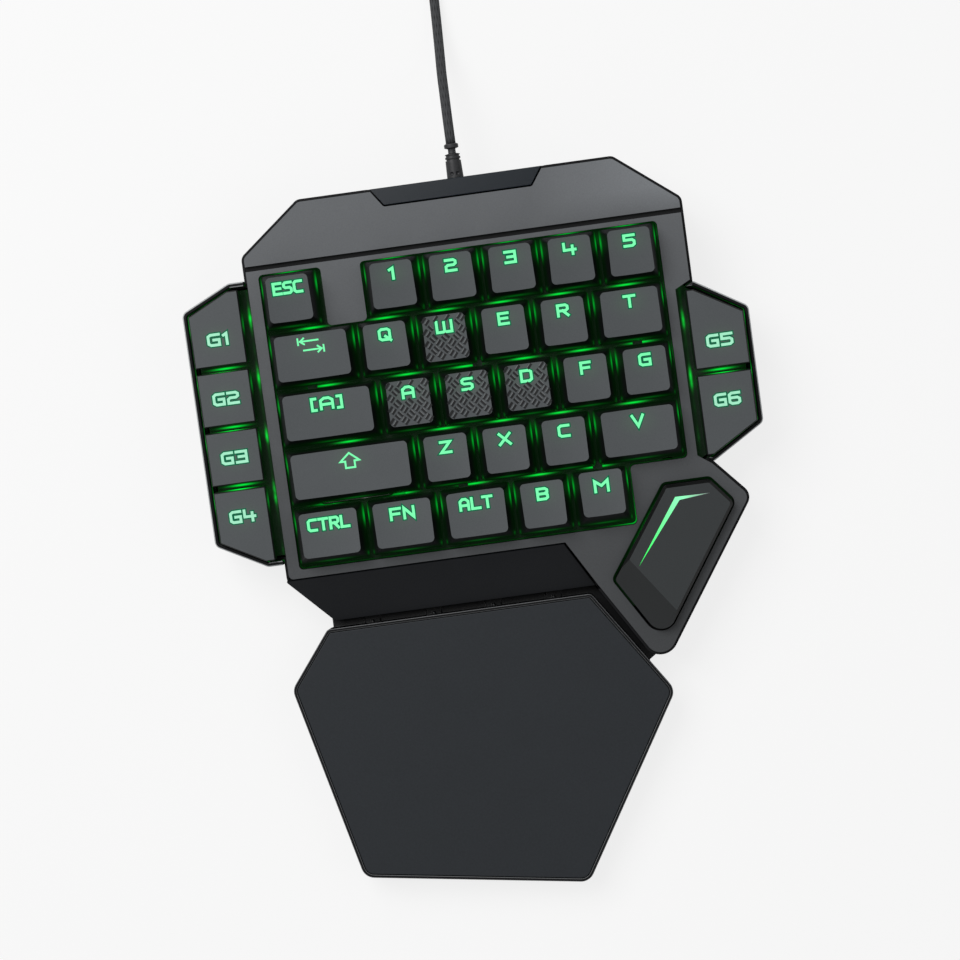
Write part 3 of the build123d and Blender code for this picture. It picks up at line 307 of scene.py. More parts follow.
def bumped(tree, shader, height, strength, distance):
    """Gives a shader a relief."""
    feed(tree, shader.inputs["Normal"], add_node(tree, "Bump", None, {
        "Strength": strength, "Distance": distance, "Height": height,
    }))


def weave_group():
    """Two sets of strands that wind opposite ways round a cord and pass over each other."""
    tree, given, shown = new_group("braid", ("Strands", "Pitch"), ("Height",))
    split = tree.nodes.new("ShaderNodeSeparateXYZ")
    feed(tree, split.inputs[0], place_of(tree, "UV"))
    along = compute(tree, "DIVIDE", split.outputs["X"], given.outputs["Pitch"])
    around = compute(tree, "MULTIPLY", split.outputs["Y"], given.outputs["Strands"])
    waves = []
    for operation in ("ADD", "SUBTRACT"):
        phase = compute(tree, "MULTIPLY", compute(tree, operation, around, along), math.pi)
        waves.append(compute(tree, "ABSOLUTE", compute(tree, "SINE", phase)))
    feed(tree, shown.inputs["Height"], compute(tree, "MAXIMUM", *waves))
    return tree


material, tree, shader = new_material("braided_sleeve", (0.03, 0.031, 0.034), 0.72)
weave = place_group(tree, weave_group(), {"Strands": float(braid_strands), "Pitch": braid_pitch})
# Painted sheen and shade: the strands' crowns are painted lighter, and the hollows between them
# darker.
feed(tree, shader.inputs["Base Color"],
     shade_between(tree, weave["Height"], braid_hollow_shade, braid_crown_sheen))
bumped(tree, shader, weave["Height"], strength=0.8, distance=braid_depth)

cord_line = spline_line("lead_line", free_route + coil_route() + plug_route)
lead = make_tube("braided_lead", cord_line, cord_diameter / 2, cord_sides)
lead.data.materials.append(material)
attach(lead, "case")
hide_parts("usb_cord", "usb_cord_coil")

# Plug: a flat moulded grip with a plated shell, and a woven strap that ties the coil.
# The shell is folded from thin sheet; the strap's hooks and loops hold it closed.
merge_distance = 0.000002
flat_turn = 0.3
smooth_turn = {"key_thumb": 10.0}
plug_black, strap_black = (0.015, 0.015, 0.017), (0.02, 0.02, 0.021)
shell_steel = (0.62, 0.61, 0.59)
brushed = (80.0, 900.0, 900.0)
body_of_node = {
    node: body for body, nodes in frame["record"]["behaviour"]["bodies"].items() for node in nodes
}


def merge_corners(piece):
    """Leaves a piece in edit mode, with the corners of its separate faces joined."""
    make_only(piece)
    bpy.ops.object.mode_set(mode="EDIT")
    bpy.ops.mesh.select_all(action="SELECT")
    bpy.ops.mesh.remove_doubles(threshold=merge_distance)


def finished_copy(node, material, width, turn=30.0, segments=2, clamp=True, steepest=None):
    """A merged copy of a CAD node with its edges rounded, shown in that node's place.

    Only edges with a turn under steepest are rounded, where it is given.
    """
    mesh = frame["nodes"][node].data.copy()
    piece = add_object(node + "_finished", mesh)
    mesh.materials.clear()
    mesh.materials.append(material)
    make_only(piece)
    bpy.ops.mesh.customdata_custom_splitnormals_clear()
    merge_corners(piece)
    bpy.ops.mesh.dissolve_limited(angle_limit=math.radians(flat_turn))
    bpy.ops.object.mode_set(mode="OBJECT")
    rounding = piece.modifiers.new("round_edges", "BEVEL")
    rounding.width, rounding.segments = width, segments
    rounding.limit_method, rounding.angle_limit = "ANGLE", math.radians(turn)
    rounding.use_clamp_overlap = clamp
    if steepest:
        angles = bmesh.new()
        angles.from_mesh(mesh)
        chosen = [edge.is_manifold and turn < math.degrees(edge.calc_face_angle()) < steepest
                  for edge in angles.edges]
        angles.free()
        rounding.limit_method = "WEIGHT"
        mesh.attributes.new("bevel_weight_edge", "FLOAT", "EDGE").data.foreach_set("value", chosen)
    bpy.ops.object.modifier_apply(modifier=rounding.name)
    bpy.ops.object.shade_smooth_by_angle(angle=math.radians(smooth_turn.get(node, turn)))
    flattening = piece.modifiers.new("flat_faces", "WEIGHTED_NORMAL")
    flattening.keep_sharp = True
    bpy.ops.object.modifier_apply(modifier=flattening.name)
    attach(piece, body_of_node[node])
    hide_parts(node)
    return piece


def noise(tree, scale, detail=2.0, place=None):
    """Uneven values round a half."""
    return add_node(tree, "TexNoise", None, {
        "Vector": place or place_of(tree), "Scale": scale, "Detail": detail,
    })


def ramp(tree, value, start, end, low=0.0, high=1.0, kind="LINEAR"):
    """A value turned into a share that runs from low to high between two limits."""
    return add_node(tree, "MapRange", {"interpolation_type": kind}, {
        "Value": value, "From Min": start, "From Max": end, "To Min": low, "To Max": high,
    })


def uneven(tree, low, high, scale, detail=2.0, place=None):
    """A level that changes over the surface between two."""
    return ramp(tree, noise(tree, scale, detail, place), 0.0, 1.0, low, high)


material, tree, shader = new_material("plug_plastic", plug_black, 0.5)
bumped(tree, shader, noise(tree, scale=3000.0), strength=0.2, distance=0.00005)
plug_grip = finished_copy("usb_plug_grip", material, 0.0006, segments=3)

material, tree, shader = new_material("plated_shell", shell_steel, 0.25, metallic=1.0)
lengthwise = add_node(tree, "Mapping", None, {"Vector": place_of(tree), "Scale": brushed})
feed(tree, shader.inputs["Roughness"],
     uneven(tree, 0.18, 0.36, scale=3.0, detail=3.0, place=lengthwise))
plug_shell = finished_copy("usb_plug_shell", material, 0.00008)

material, tree, shader = new_material("woven_strap", strap_black, 0.9)
checks = add_node(tree, "TexChecker", None, {"Vector": place_of(tree), "Scale": 2500.0}, 1)
bumped(tree, shader, checks, strength=0.6, distance=0.0001)
tie = finished_copy("cord_tie", material, 0.0002)

# Keys' places: the switches stand under the deck, which rises away from the user.
# Each row of the grid is shifted sideways, and every key has a lamp behind its stem.
key_unit = 0.01905
deck_tilt = 4.0
deck_height = 0.0274
foot_low_x, foot_low_y = -0.001, -0.133
switch_forward = 0.0007
lamp_back = 0.0052
side_row_back = 0.0195
plate_depth = 0.0075
# Each row's keys with their widths in key units.
key_rows = (
    "esc 1 gap 0.75 1 1 2 1 3 1 4 1 5 1", "tab 1.5 q 1 w 1 e 1 r 1 t 1.25",
    "caps 1.75 a 1 s 1 d 1 f 1 g 1", "shift 2.25 z 1 x 1 c 1 v 1.5",
    "ctrl 1.25 fn 1.25 alt 1.25 b 1 m 1",
)
key_table = {}
for row, keys in enumerate(key_rows):
    start, names = 0.0, keys.split()
    for key, units in zip(names[::2], names[1::2]):
        if key != "gap":
            key_table["key_" + key] = (row, start, float(units))
        start += float(units)
side_keys = {
    "key_g1": (-0.0152, -0.0195), "key_g2": (-0.0152, -0.03855), "key_g3": (-0.0152, -0.0576),
    "key_g4": (-0.0152, -0.07665), "key_g5": (0.1437, -0.0414), "key_g6": (0.1437, -0.06045),
}
thumb_place, thumb_turn = (0.121, -0.108), -34.0
glow_green = (0.0, 1.0, 0.06)
# Half sizes of a lamp's glow, how far behind the lamp it lies, and the input that sets it.
glow_shapes = (((0.0034, 0.00030), 0.0042, "Streak"), ((0.0100, 0.0018), 0.0010, "Sides"))
row_glow_width = 0.14
row_patch_scale, row_patches = 260.0, (0.3, 0.7, 0.3, 1.6)
wide_grain_scale, wide_grain_share = 60.0, 0.35
top_facing, edge_rise, edge_end = (0.90, 0.975), (0.3, 0.6), (0.9, 0.985)

feet_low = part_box("case_feet")[0]
deck_frame = (
    Matrix.Translation((feet_low.x - foot_low_x, feet_low.y - foot_low_y, deck_height))
    @ Matrix.Rotation(math.radians(deck_tilt), 4, "X")
)
deck_turn = deck_frame.to_3x3()
deck_up = deck_turn @ Vector((0.0, 0.0, 1.0))
key_centres = {
    name: ((start + units / 2) * key_unit, -(row + 0.5) * key_unit)
    for name, (row, start, units) in key_table.items()
}
main_phase = 1.0 - (lamp_back - switch_forward) / key_unit
side_phase = 0.5 - (lamp_back - side_row_back) / key_unit


def lamp_spots():
    """Where the lamps under the keys stand, in the model's frame."""
    spots = [(x, y - switch_forward + lamp_back) for x, y in key_centres.values()]
    spots += [(x, y + lamp_back) for x, y in side_keys.values()]
    turned = Matrix.Rotation(math.radians(thumb_turn), 2) @ Vector((0.0, lamp_back))
    spots.append((thumb_place[0] + turned.x, thumb_place[1] + turned.y))
    return [deck_frame @ Vector((x, y, -plate_depth)) for x, y in spots]


def vectors(tree, operation, first, second):
    """The result of a sum on two vectors."""
    return add_node(tree, "VectorMath", {"operation": operation}, {0: first, 1: second},
                    1 if operation == "DOT_PRODUCT" else 0)


def multiply(tree, *values):
    """The product of two or more values."""
    total = values[0]
    for value in values[1:]:
        total = compute(tree, "MULTIPLY", total, value)
    return total


def without(tree, share):
    """The rest of a share."""
    return compute(tree, "SUBTRACT", 1.0, share)


def fall_off(tree, square):
    """1 in the middle and near 0 beyond two widths, by the square of the way from it."""
    return compute(tree, "POWER", math.exp(-1.0), square)


def bell(tree, value, centre, width):
    """A smooth bump of a value round a centre."""
    away = compute(tree, "MULTIPLY_ADD", value, 1.0 / width, -centre / width)
    return fall_off(tree, compute(tree, "MULTIPLY", away, away))


def along_deck(tree, axis, output="Object"):
    """How far a spot lies from the grid's corner along an axis of the deck, or how it leans."""
    place = place_of(tree, output)
    if output == "Object":
        place = vectors(tree, "SUBTRACT", place, deck_frame.translation)
    return vectors(tree, "DOT_PRODUCT", place, deck_turn @ Vector(axis))


def deck_places(tree):
    """How far a spot lies across and along the deck from the grid's corner."""
    return along_deck(tree, (1.0, 0.0, 0.0)), along_deck(tree, (0.0, 1.0, 0.0))


def lamp_glow_group():
    """Light from the lamps: a thin streak behind each key and ovals beside it."""
    tree, given, shown = new_group("lamp_glow", ("Streak", "Sides"), ("Glow",))
    flat = vectors(tree, "MULTIPLY", place_of(tree), (1.0, 1.0, 0.0))
    total = 0.0
    for spot in lamp_spots():
        for shape, shift, share in glow_shapes:
            away = vectors(tree, "SUBTRACT", flat, (spot.x, spot.y + shift, 0.0))
            away = vectors(tree, "DIVIDE", away, (*shape, 1.0))
            fall = fall_off(tree, vectors(tree, "DOT_PRODUCT", away, away))
            total = compute(tree, "MULTIPLY_ADD", fall, given.outputs[share], total)
    feed(tree, shown.inputs["Glow"], total)
    return tree


def row_glow_group():
    """Light on the walls round the keys: bright beside each row's lamps, and a haze between."""
    tree, given, shown = new_group("row_glow", ("Phase", "Bright", "Haze"), ("Glow",))
    rows = multiply(tree, deck_places(tree)[1], 1.0 / key_unit)
    within = compute(tree, "FRACT", compute(tree, "ADD", rows, given.outputs["Phase"]))
    total = multiply(tree, bell(tree, within, 0.5, row_glow_width), given.outputs["Bright"])
    total = compute(tree, "ADD", total, given.outputs["Haze"])
    patches = ramp(tree, noise(tree, row_patch_scale), *row_patches)
    feed(tree, shown.inputs["Glow"], multiply(tree, total, patches))
    return tree


def grain_group():
    """Fine grain of moulded or painted plastic: a shade round 1 and a normal."""
    tree, given, shown = new_group("fine_grain", ("Scale", "Depth", "Shade Change"),
                                   ("Shade", "Normal"))
    fine = noise(tree, given.outputs["Scale"], 3.0)
    both = compute(tree, "MULTIPLY_ADD", noise(tree, wide_grain_scale), wide_grain_share, fine)
    offset = compute(tree, "SUBTRACT", both, 0.5 * (1.0 + wide_grain_share))
    feed(tree, shown.inputs["Shade"],
         compute(tree, "MULTIPLY_ADD", offset, given.outputs["Shade Change"], 1.0))
    feed(tree, shown.inputs["Normal"], add_node(tree, "Bump", None, {
        "Strength": 1.0, "Distance": given.outputs["Depth"], "Height": fine,
    }))
    return tree


def deck_mask_group():
    """Top is 1 on faces along the deck, Edge on rounded edges, and Low deep in the case."""
    tree, given, shown = new_group("deck_mask", ("Bright Depth", "Dark Depth"),
                                   ("Top", "Edge", "Low"))
    facing = vectors(tree, "DOT_PRODUCT", place_of(tree, "Normal"), deck_up)
    rising = ramp(tree, facing, *edge_rise, kind="SMOOTHSTEP")
    leaving = ramp(tree, facing, *edge_end, 1.0, 0.0, "SMOOTHSTEP")
    height = along_deck(tree, (0.0, 0.0, 1.0))
    feed(tree, shown.inputs["Top"], ramp(tree, facing, *top_facing, kind="SMOOTHSTEP"))
    feed(tree, shown.inputs["Edge"], multiply(tree, rising, leaving))
    feed(tree, shown.inputs["Low"], ramp(tree, height, given.outputs["Bright Depth"],
                                         given.outputs["Dark Depth"], 1.0, 0.0, "SMOOTHSTEP"))
    return tree


lamp_glow, row_glow = lamp_glow_group(), row_glow_group()
fine_grain, deck_mask = grain_group(), deck_mask_group()


def masks(tree, bright_depth=-0.010, dark_depth=-0.009):
    """Where a piece faces up, has an edge, or lies low, between two heights on the deck."""
    return place_group(tree, deck_mask, {"Bright Depth": bright_depth, "Dark Depth": dark_depth})


def tinted(tree, colour, shade):
    """A colour made lighter or darker by a shade value."""
    return add_node(tree, "VectorMath", {"operation": "SCALE"}, {0: colour, "Scale": shade})


def gap_light(tree, streak, sides, haze):
    """How strongly the lamps light a piece that lies among them, with a haze over it."""
    near = place_group(tree, lamp_glow, {"Streak": streak, "Sides": sides})
    return compute(tree, "ADD", near["Glow"], haze)


def wall_light(tree, phase, bright, haze):
    """How strongly the lamps light a wall beside the rows of keys."""
    return place_group(tree, row_glow, {"Phase": phase, "Bright": bright, "Haze": haze})["Glow"]


def light_up(tree, shader, strength, colour=glow_green):
    """Gives off light by a strength that changes over the surface."""
    feed(tree, shader.inputs["Emission Color"], tinted(tree, colour, strength))
    feed(tree, shader.inputs["Emission Strength"], 1.0)


def grained(tree, shader, colour, scale=2600.0, depth=0.00003, change=0.35):
    """Gives a shader a grained colour and normal. The colour may be a socket."""
    grain = place_group(tree, fine_grain, {"Scale": scale, "Depth": depth, "Shade Change": change})
    feed(tree, shader.inputs["Base Color"], tinted(tree, colour, grain["Shade"]))
    feed(tree, shader.inputs["Normal"], grain["Normal"])


def grained_material(name, colour, roughness, scale, depth, change=0.35, gloss=0.5):
    """A material of one colour with a fine grain."""
    material, tree, shader = new_material(name, colour, roughness, gloss)
    grained(tree, shader, colour, scale, depth, change)
    return material


def edged_material(name, colour, roughness, share, gloss):
    """Moulded black plastic whose rounded edges are painted a lighter grey, as a painted highlight.
    """
    material, tree, shader = new_material(name, colour, roughness, gloss)
    edge = multiply(tree, masks(tree)["Edge"], share)
    grained(tree, shader, shade_between(tree, edge, colour, edge_highlight_grey))
    return material


def dress(node, material):
    """Gives a CAD node that stays as it is its material."""
    slots = frame["nodes"][node].data.materials
    slots.clear()
    slots.append(material)


# Bottom case: a deep tray of black ABS whose rim shows round the cover.
# It stands on rubber feet and holds the switch plate on its posts.
# Lighter grey of the painted highlight on the rounded edges of the case and the front panel.
edge_highlight_grey = (0.05, 0.052, 0.056)
case_black = (0.0062, 0.0066, 0.0078)
finished_copy("bottom_case", edged_material("case_plastic", case_black, 0.45, 0.5, 0.22), 0.0003)

# Front panel: a sloping plate of black ABS in front of the keys, seated on the case's edge.
# It fills the case's front as far as the thumb wing.
panel_black = (0.0040, 0.0048, 0.0062)
finished_copy("front_panel", edged_material("panel_plastic", panel_black, 0.5, 0.4, 0.06), 0.0003)

# Feet: round rubber pads pressed into recesses in the floors of the case and the palm rest.
# They are soft and matte, and lie flat on the table.
foot_black = (0.02, 0.02, 0.02)
foot_rubber = grained_material("foot_rubber", foot_black, 0.85, scale=1500.0, depth=0.0001)
for feet_node in ("case_feet", "palm_rest_feet"):
    finished_copy(feet_node, foot_rubber, 0.0004, segments=3)

# Circuit board: a glass laminate sheet under dark green mask, with copper runs under it.
# It hangs from the switches' legs below the plate.
board_green = (0.004, 0.03, 0.012)
material, tree, shader = new_material("circuit_board", board_green, 0.35)
feed(tree, shader.inputs["Base Color"], add_node(tree, "TexBrick", None, {
    "Vector": place_of(tree), "Scale": 220.0, "Mortar Size": 0.03,
    "Color1": (0.004, 0.028, 0.012, 1.0), "Color2": (0.005, 0.034, 0.014, 1.0),
    "Mortar": (0.02, 0.09, 0.035, 1.0),
}))
dress("circuit_board", material)

# Switch plate: a steel sheet with a square hole for each switch, coated black.
# The lamps throw soft green pools on it, and a streak into each wing's channel.
plate_black = (0.010, 0.011, 0.012)
streak_width = 0.0004
# Each channel's middle, and where its light fades towards the user.
channels = ((-0.0050, -0.0830, -0.0760), (0.1338, -0.0670, -0.0610))
material, tree, shader = new_material("plate_coat", plate_black, 0.5)
grained(tree, shader, plate_black, scale=1800.0, depth=0.00005)
across, along = deck_places(tree)
left_streak, right_streak = [
    multiply(tree, bell(tree, across, middle, streak_width), ramp(tree, along, dark, lit, 0.05))
    for middle, dark, lit in channels
]
streaks = multiply(tree, compute(tree, "ADD", left_streak, right_streak),
                   wall_light(tree, side_phase, bright=0.55, haze=0.012))
pools = gap_light(tree, streak=0.9, sides=0.035, haze=0.006)
light_up(tree, shader, compute(tree, "ADD", streaks, pools))
dress("switch_plate", material)

# Switches: moulded housings with a clear slot for the lamp, a coil spring and a lamp each.
# The housings snap into the plate, and the shift key's stabiliser beside its switch.
housing_black = (0.014, 0.014, 0.015)
material, tree, shader = new_material("switch_plastic", housing_black, 0.45)
grained(tree, shader, housing_black, scale=1800.0)
light_up(tree, shader, gap_light(tree, streak=0.4, sides=0.03, haze=0.006))
dress("switch_housings", material)
dress("stabiliser_housings", material)

# Springs: steel coils under the stems, and the bent steel wire of the stabiliser.
# Each spring stands in its housing and is named after its own key.
spring_steel = (0.55, 0.54, 0.52)
material, tree, shader = new_material("spring_steel", spring_steel, 0.3, metallic=1.0)
coils = add_node(tree, "TexWave", {"bands_direction": "Z"}, {
    "Vector": place_of(tree), "Scale": 600.0,
})
bumped(tree, shader, coils, strength=0.7, distance=0.0002)
dress("stabiliser_wire", material)
spring_places = {**key_centres, **side_keys, "key_thumb": thumb_place}
springs = add_object("springs", frame["nodes"]["key_springs"].data.copy())
merge_corners(springs)
bpy.ops.mesh.separate(type="LOOSE")
bpy.ops.object.mode_set(mode="OBJECT")
for spring in list(bpy.context.selected_objects):
    spots = [deck_frame.inverted() @ vertex.co for vertex in spring.data.vertices]
    middle = Vector((sum(spot.x for spot in spots), sum(spot.y for spot in spots))) / len(spots)
    key_name = min(spring_places, key=lambda name: (Vector(spring_places[name]) - middle).length)
    spring.name = spring.data.name = "spring_" + key_name[4:]
    spring.data.materials.clear()
    spring.data.materials.append(material)
    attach(spring, body_of_node["key_springs"])
    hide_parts("key_springs")
    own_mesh(spring)

# Lamps: small green lamps soldered to the board behind the stems.
# They shine up through the slots in the housings.
lamp_green = (0.2, 0.6, 0.3)
material, tree, shader = new_material("key_lamps", lamp_green, 0.2)
light_up(tree, shader, uneven(tree, 2.0, 4.0, scale=900.0))
dress("key_lights", material)

# Screws: small steel screws with a black finish.
# They join the plate to the case and the case to the cover.
screw_black = (0.08, 0.08, 0.085)
material, tree, shader = new_material("black_screws", screw_black, 0.4, metallic=1.0)
feed(tree, shader.inputs["Roughness"], uneven(tree, 0.3, 0.55, scale=1200.0))
light_up(tree, shader, gap_light(tree, streak=0.0, sides=0.03, haze=0.006))
dress("screws", material)

# Top cover: a moulded frame round the keys, painted a fine metallic grey.
# Its side walls and the insides of its wells stay black, and catch the keys' green light.
cover_grey = (0.122, 0.129, 0.137)
# Black of the cover's walls, also used as painted shade on the steep sides of the keycaps and the
# thumb key.
skirt_black_and_shade = (0.0055, 0.0060, 0.0066)
well_depths, floor_depths = (-0.0075, -0.0012), (-0.0009, -0.0005)
# Painted shade darkens the grey towards the front, and painted light lifts it at the rear right.
cover_painted_shade_fade = (-0.130, 0.015, 0.50, 1.15)
rear_painted_light, right_painted_light = (0.0, 0.010), (0.090, 0.135, 0.0, 0.8)
well_left, well_front = (-0.0030, -0.0020), (-0.0985, -0.0970)
well_right, well_rear = (0.1308, 0.1314, 1.0, 0.0), (0.0013, 0.0019, 1.0, 0.0)
wing_left, wing_rear = (0.1120, 0.1130), (-0.0800, -0.0790, 1.0, 0.0)
thumb_glow_across, thumb_glow_along, thumb_glow = (0.1120, 0.0070), (-0.0985, 0.0090), 0.6
paint_roughness, skirt_roughness = 0.40, 0.85
material, tree, shader = new_material("cover_paint", cover_grey, paint_roughness, gloss=0.45)
cover_mask = masks(tree, *well_depths)
painted = multiply(tree, without(tree, masks(tree, *floor_depths)["Low"]), cover_mask["Top"])
across, along = deck_places(tree)
# Painted light at the rear right, added to the painted shade that darkens the cover towards the
# front.
lift = multiply(tree, ramp(tree, along, *rear_painted_light), ramp(tree, across, *right_painted_light))
cover_painted_shade = compute(tree, "ADD", lift, ramp(tree, along, *cover_painted_shade_fade))
cover_colour = shade_between(tree, painted, skirt_black_and_shade, cover_grey)
grained(tree, shader, tinted(tree, cover_colour, cover_painted_shade),
        scale=2400.0, depth=0.000025, change=0.3)
feed(tree, shader.inputs["Roughness"],
     ramp(tree, painted, 0.0, 1.0, skirt_roughness, paint_roughness))
main_well = multiply(
    tree, ramp(tree, along, *well_front), ramp(tree, across, *well_left),
    ramp(tree, across, *well_right), ramp(tree, along, *well_rear),
    without(tree, multiply(tree, ramp(tree, across, *wing_left), ramp(tree, along, *wing_rear))),
)
well_light = multiply(tree, main_well, wall_light(tree, main_phase, bright=0.10, haze=0.016))
thumb_light = multiply(tree, bell(tree, across, *thumb_glow_across),
                       bell(tree, along, *thumb_glow_along))
well_light = compute(tree, "MULTIPLY_ADD", thumb_light, thumb_glow, well_light)
light_up(tree, shader,
         multiply(tree, well_light, cover_mask["Low"], without(tree, cover_mask["Top"])))
finished_copy("top_cover", material, 0.0003)

# Rear strip: a glossy blue-black inlay over the cord's exit.
# It snaps into a window in the cover and falls away to the rear.
accent_black = (0.0070, 0.0120, 0.0180)
finished_copy("rear_accent", grained_material(
    "gloss_inlay", accent_black, 0.3, scale=900.0, depth=0.000004, change=0.1, gloss=0.22,
), 0.00025)

# Side bezels: black frames that close the case's wings round the macro keys.
# They snap over the wings' walls, and their inner faces are lit green.
bezel_black, bezel_highlight_grey = (0.0055, 0.0060, 0.0068), (0.55, 0.57, 0.58)
bezel_depths = (-0.0030, -0.0002)
keypad_middle = (0.050, 0.070, -1.0, 1.0)
outward_lean, inward_lean = (-0.15, 0.0), (-0.15, 0.0, 1.0, 0.0)
material, tree, shader = new_material("bezel_plastic", bezel_black, 0.36, gloss=0.25)
bezel_mask = masks(tree, *bezel_depths)
side = ramp(tree, along_deck(tree, (1.0, 0.0, 0.0)), *keypad_middle)
lean = multiply(tree, side, along_deck(tree, (1.0, 0.0, 0.0), "Normal"))
# Painted highlight: rounded rim edges that lean outwards are painted light grey.
rim = multiply(tree, bezel_mask["Edge"], ramp(tree, lean, *outward_lean))
grained(tree, shader, shade_between(tree, rim, bezel_black, bezel_highlight_grey))
light_up(tree, shader, multiply(
    tree, without(tree, bezel_mask["Top"]), wall_light(tree, side_phase, bright=0.45, haze=0.10),
    ramp(tree, lean, *inward_lean), bezel_mask["Low"],
))
for bezel_node in ("left_bezel", "right_bezel"):
    finished_copy(bezel_node, material, 0.0005, segments=3)

# Strain relief: a tapered rubber sleeve with a ring at its end.
# It is moulded on the cord, and its flange is held inside the rear wall.
finished_copy("strain_relief", grained_material(
    "relief_rubber", (0.030, 0.031, 0.034), 0.5, scale=1800.0, depth=0.00004,
), 0.0002, segments=3)

# Keycaps: thin grey ABS shells, each on a cross-shaped stem, with painted shade making their steep
# sides near-black.
# Their tops are dished, and their legends let the green lamps shine through.
cap_grey = (0.092, 0.101, 0.107)
cap_round = 0.00038
cap_depths = (0.0002, 0.0050)
halo_width, halo_depth, halo_level = 0.0046, 0.0034, 0.022
legend_back = 0.0033
millimetre = 0.001
side_key_step, side_key_extra = 0.00094, -0.6
skirt_haze, skirt_level = 0.006, 0.8
material, tree, shader = new_material("keycap_plastic", cap_grey, 0.45, gloss=0.4)
cap_mask = masks(tree, *cap_depths)
# Painted shade: faces turned away from the deck's top are painted near-black.
grained(tree, shader, shade_between(tree, cap_mask["Top"], skirt_black_and_shade, cap_grey),
        scale=2600.0, depth=0.00002, change=0.3)
split = tree.nodes.new("ShaderNodeSeparateXYZ")
feed(tree, split.inputs[0],
     add_node(tree, "Attribute", {"attribute_name": "from_key"}, None, "Vector"))
across, along, extra = split.outputs
outward = compute(tree, "SUBTRACT", compute(tree, "ABSOLUTE", across), extra)
# Sideways place, its middle and width, then the middle and width along the deck, and power.
skirt_glows = (
    (across, 0.0, 3.3, 8.95, 0.30, 1.7), (outward, 8.75, 0.27, 3.9, 2.3, 0.42),
    (outward, 8.6, 0.24, -8.3, 0.6, 0.08), (across, 0.0, 4.5, -9.0, 0.30, 0.10),
)
skirt_light = skirt_haze
for sideways, middle, spread, row_middle, row_spread, power in skirt_glows:
    patch = multiply(tree, bell(tree, sideways, middle, spread),
                     bell(tree, along, row_middle, row_spread))
    skirt_light = compute(tree, "MULTIPLY_ADD", patch, power, skirt_light)
skirt_light = multiply(tree, skirt_light, cap_mask["Low"], without(tree, cap_mask["Top"]))
halo_at = add_node(tree, "Attribute", {"attribute_name": "from_legend"}, None, "Vector")
halo = fall_off(tree, vectors(tree, "DOT_PRODUCT", halo_at, halo_at))
halo = multiply(tree, halo, cap_mask["Top"], halo_level)
light_up(tree, shader, compute(tree, "MULTIPLY_ADD", skirt_light, skirt_level, halo))


def mark_places(piece, centre, key_middle, step, extra):
    """Marks how far each corner lies from the legend, for its halo, and from the key, in mm."""
    inward = deck_frame.inverted()
    for name, spot, step_x, step_y, more in (
        ("from_legend", centre, halo_width, halo_depth, 0.0),
        ("from_key", key_middle, millimetre, step, extra),
    ):
        marks = piece.data.attributes.new(name, "FLOAT_VECTOR", "POINT")
        for vertex, mark in zip(piece.data.vertices, marks.data):
            at = inward @ vertex.co
            mark.vector = ((at.x - spot[0]) / step_x, (at.y - spot[1]) / step_y, more)


legend_centres = {name: (x, y + legend_back) for name, (x, y) in key_centres.items()}
legend_centres.update(side_keys)
caps = {}
for key_name, centre in legend_centres.items():
    caps[key_name] = finished_copy(key_name, material, cap_round)
    if key_name in side_keys:
        mark_places(caps[key_name], centre, centre, side_key_step, side_key_extra)
    else:
        wider = (key_table[key_name][2] - 1.0) / 2 * key_unit / millimetre
        mark_places(caps[key_name], centre, key_centres[key_name], millimetre, wider)

# Legends: clear resin letters that fill the cut-outs in the painted tops.
# They are plain strokes of even width, and glow mint green from the lamps below.
resin_body, resin_roughness = (0.05, 0.08, 0.06), 0.35
legend_height = 0.0042
legend_stroke, tab_stroke, shift_stroke = 0.00088, 0.00055, 0.0006
legend_proud, legend_sink = 0.00005, 0.00010
rim_proud, rim_more = 0.00003, 0.00070
arrow_scale = (0.001, 0.001)
stroke_step = 0.0012
sharpest_mitre = 0.45
same_spot = 1e-7
ray_height = 0.02
letter_gap = 1.75
letter_rise = 6.0
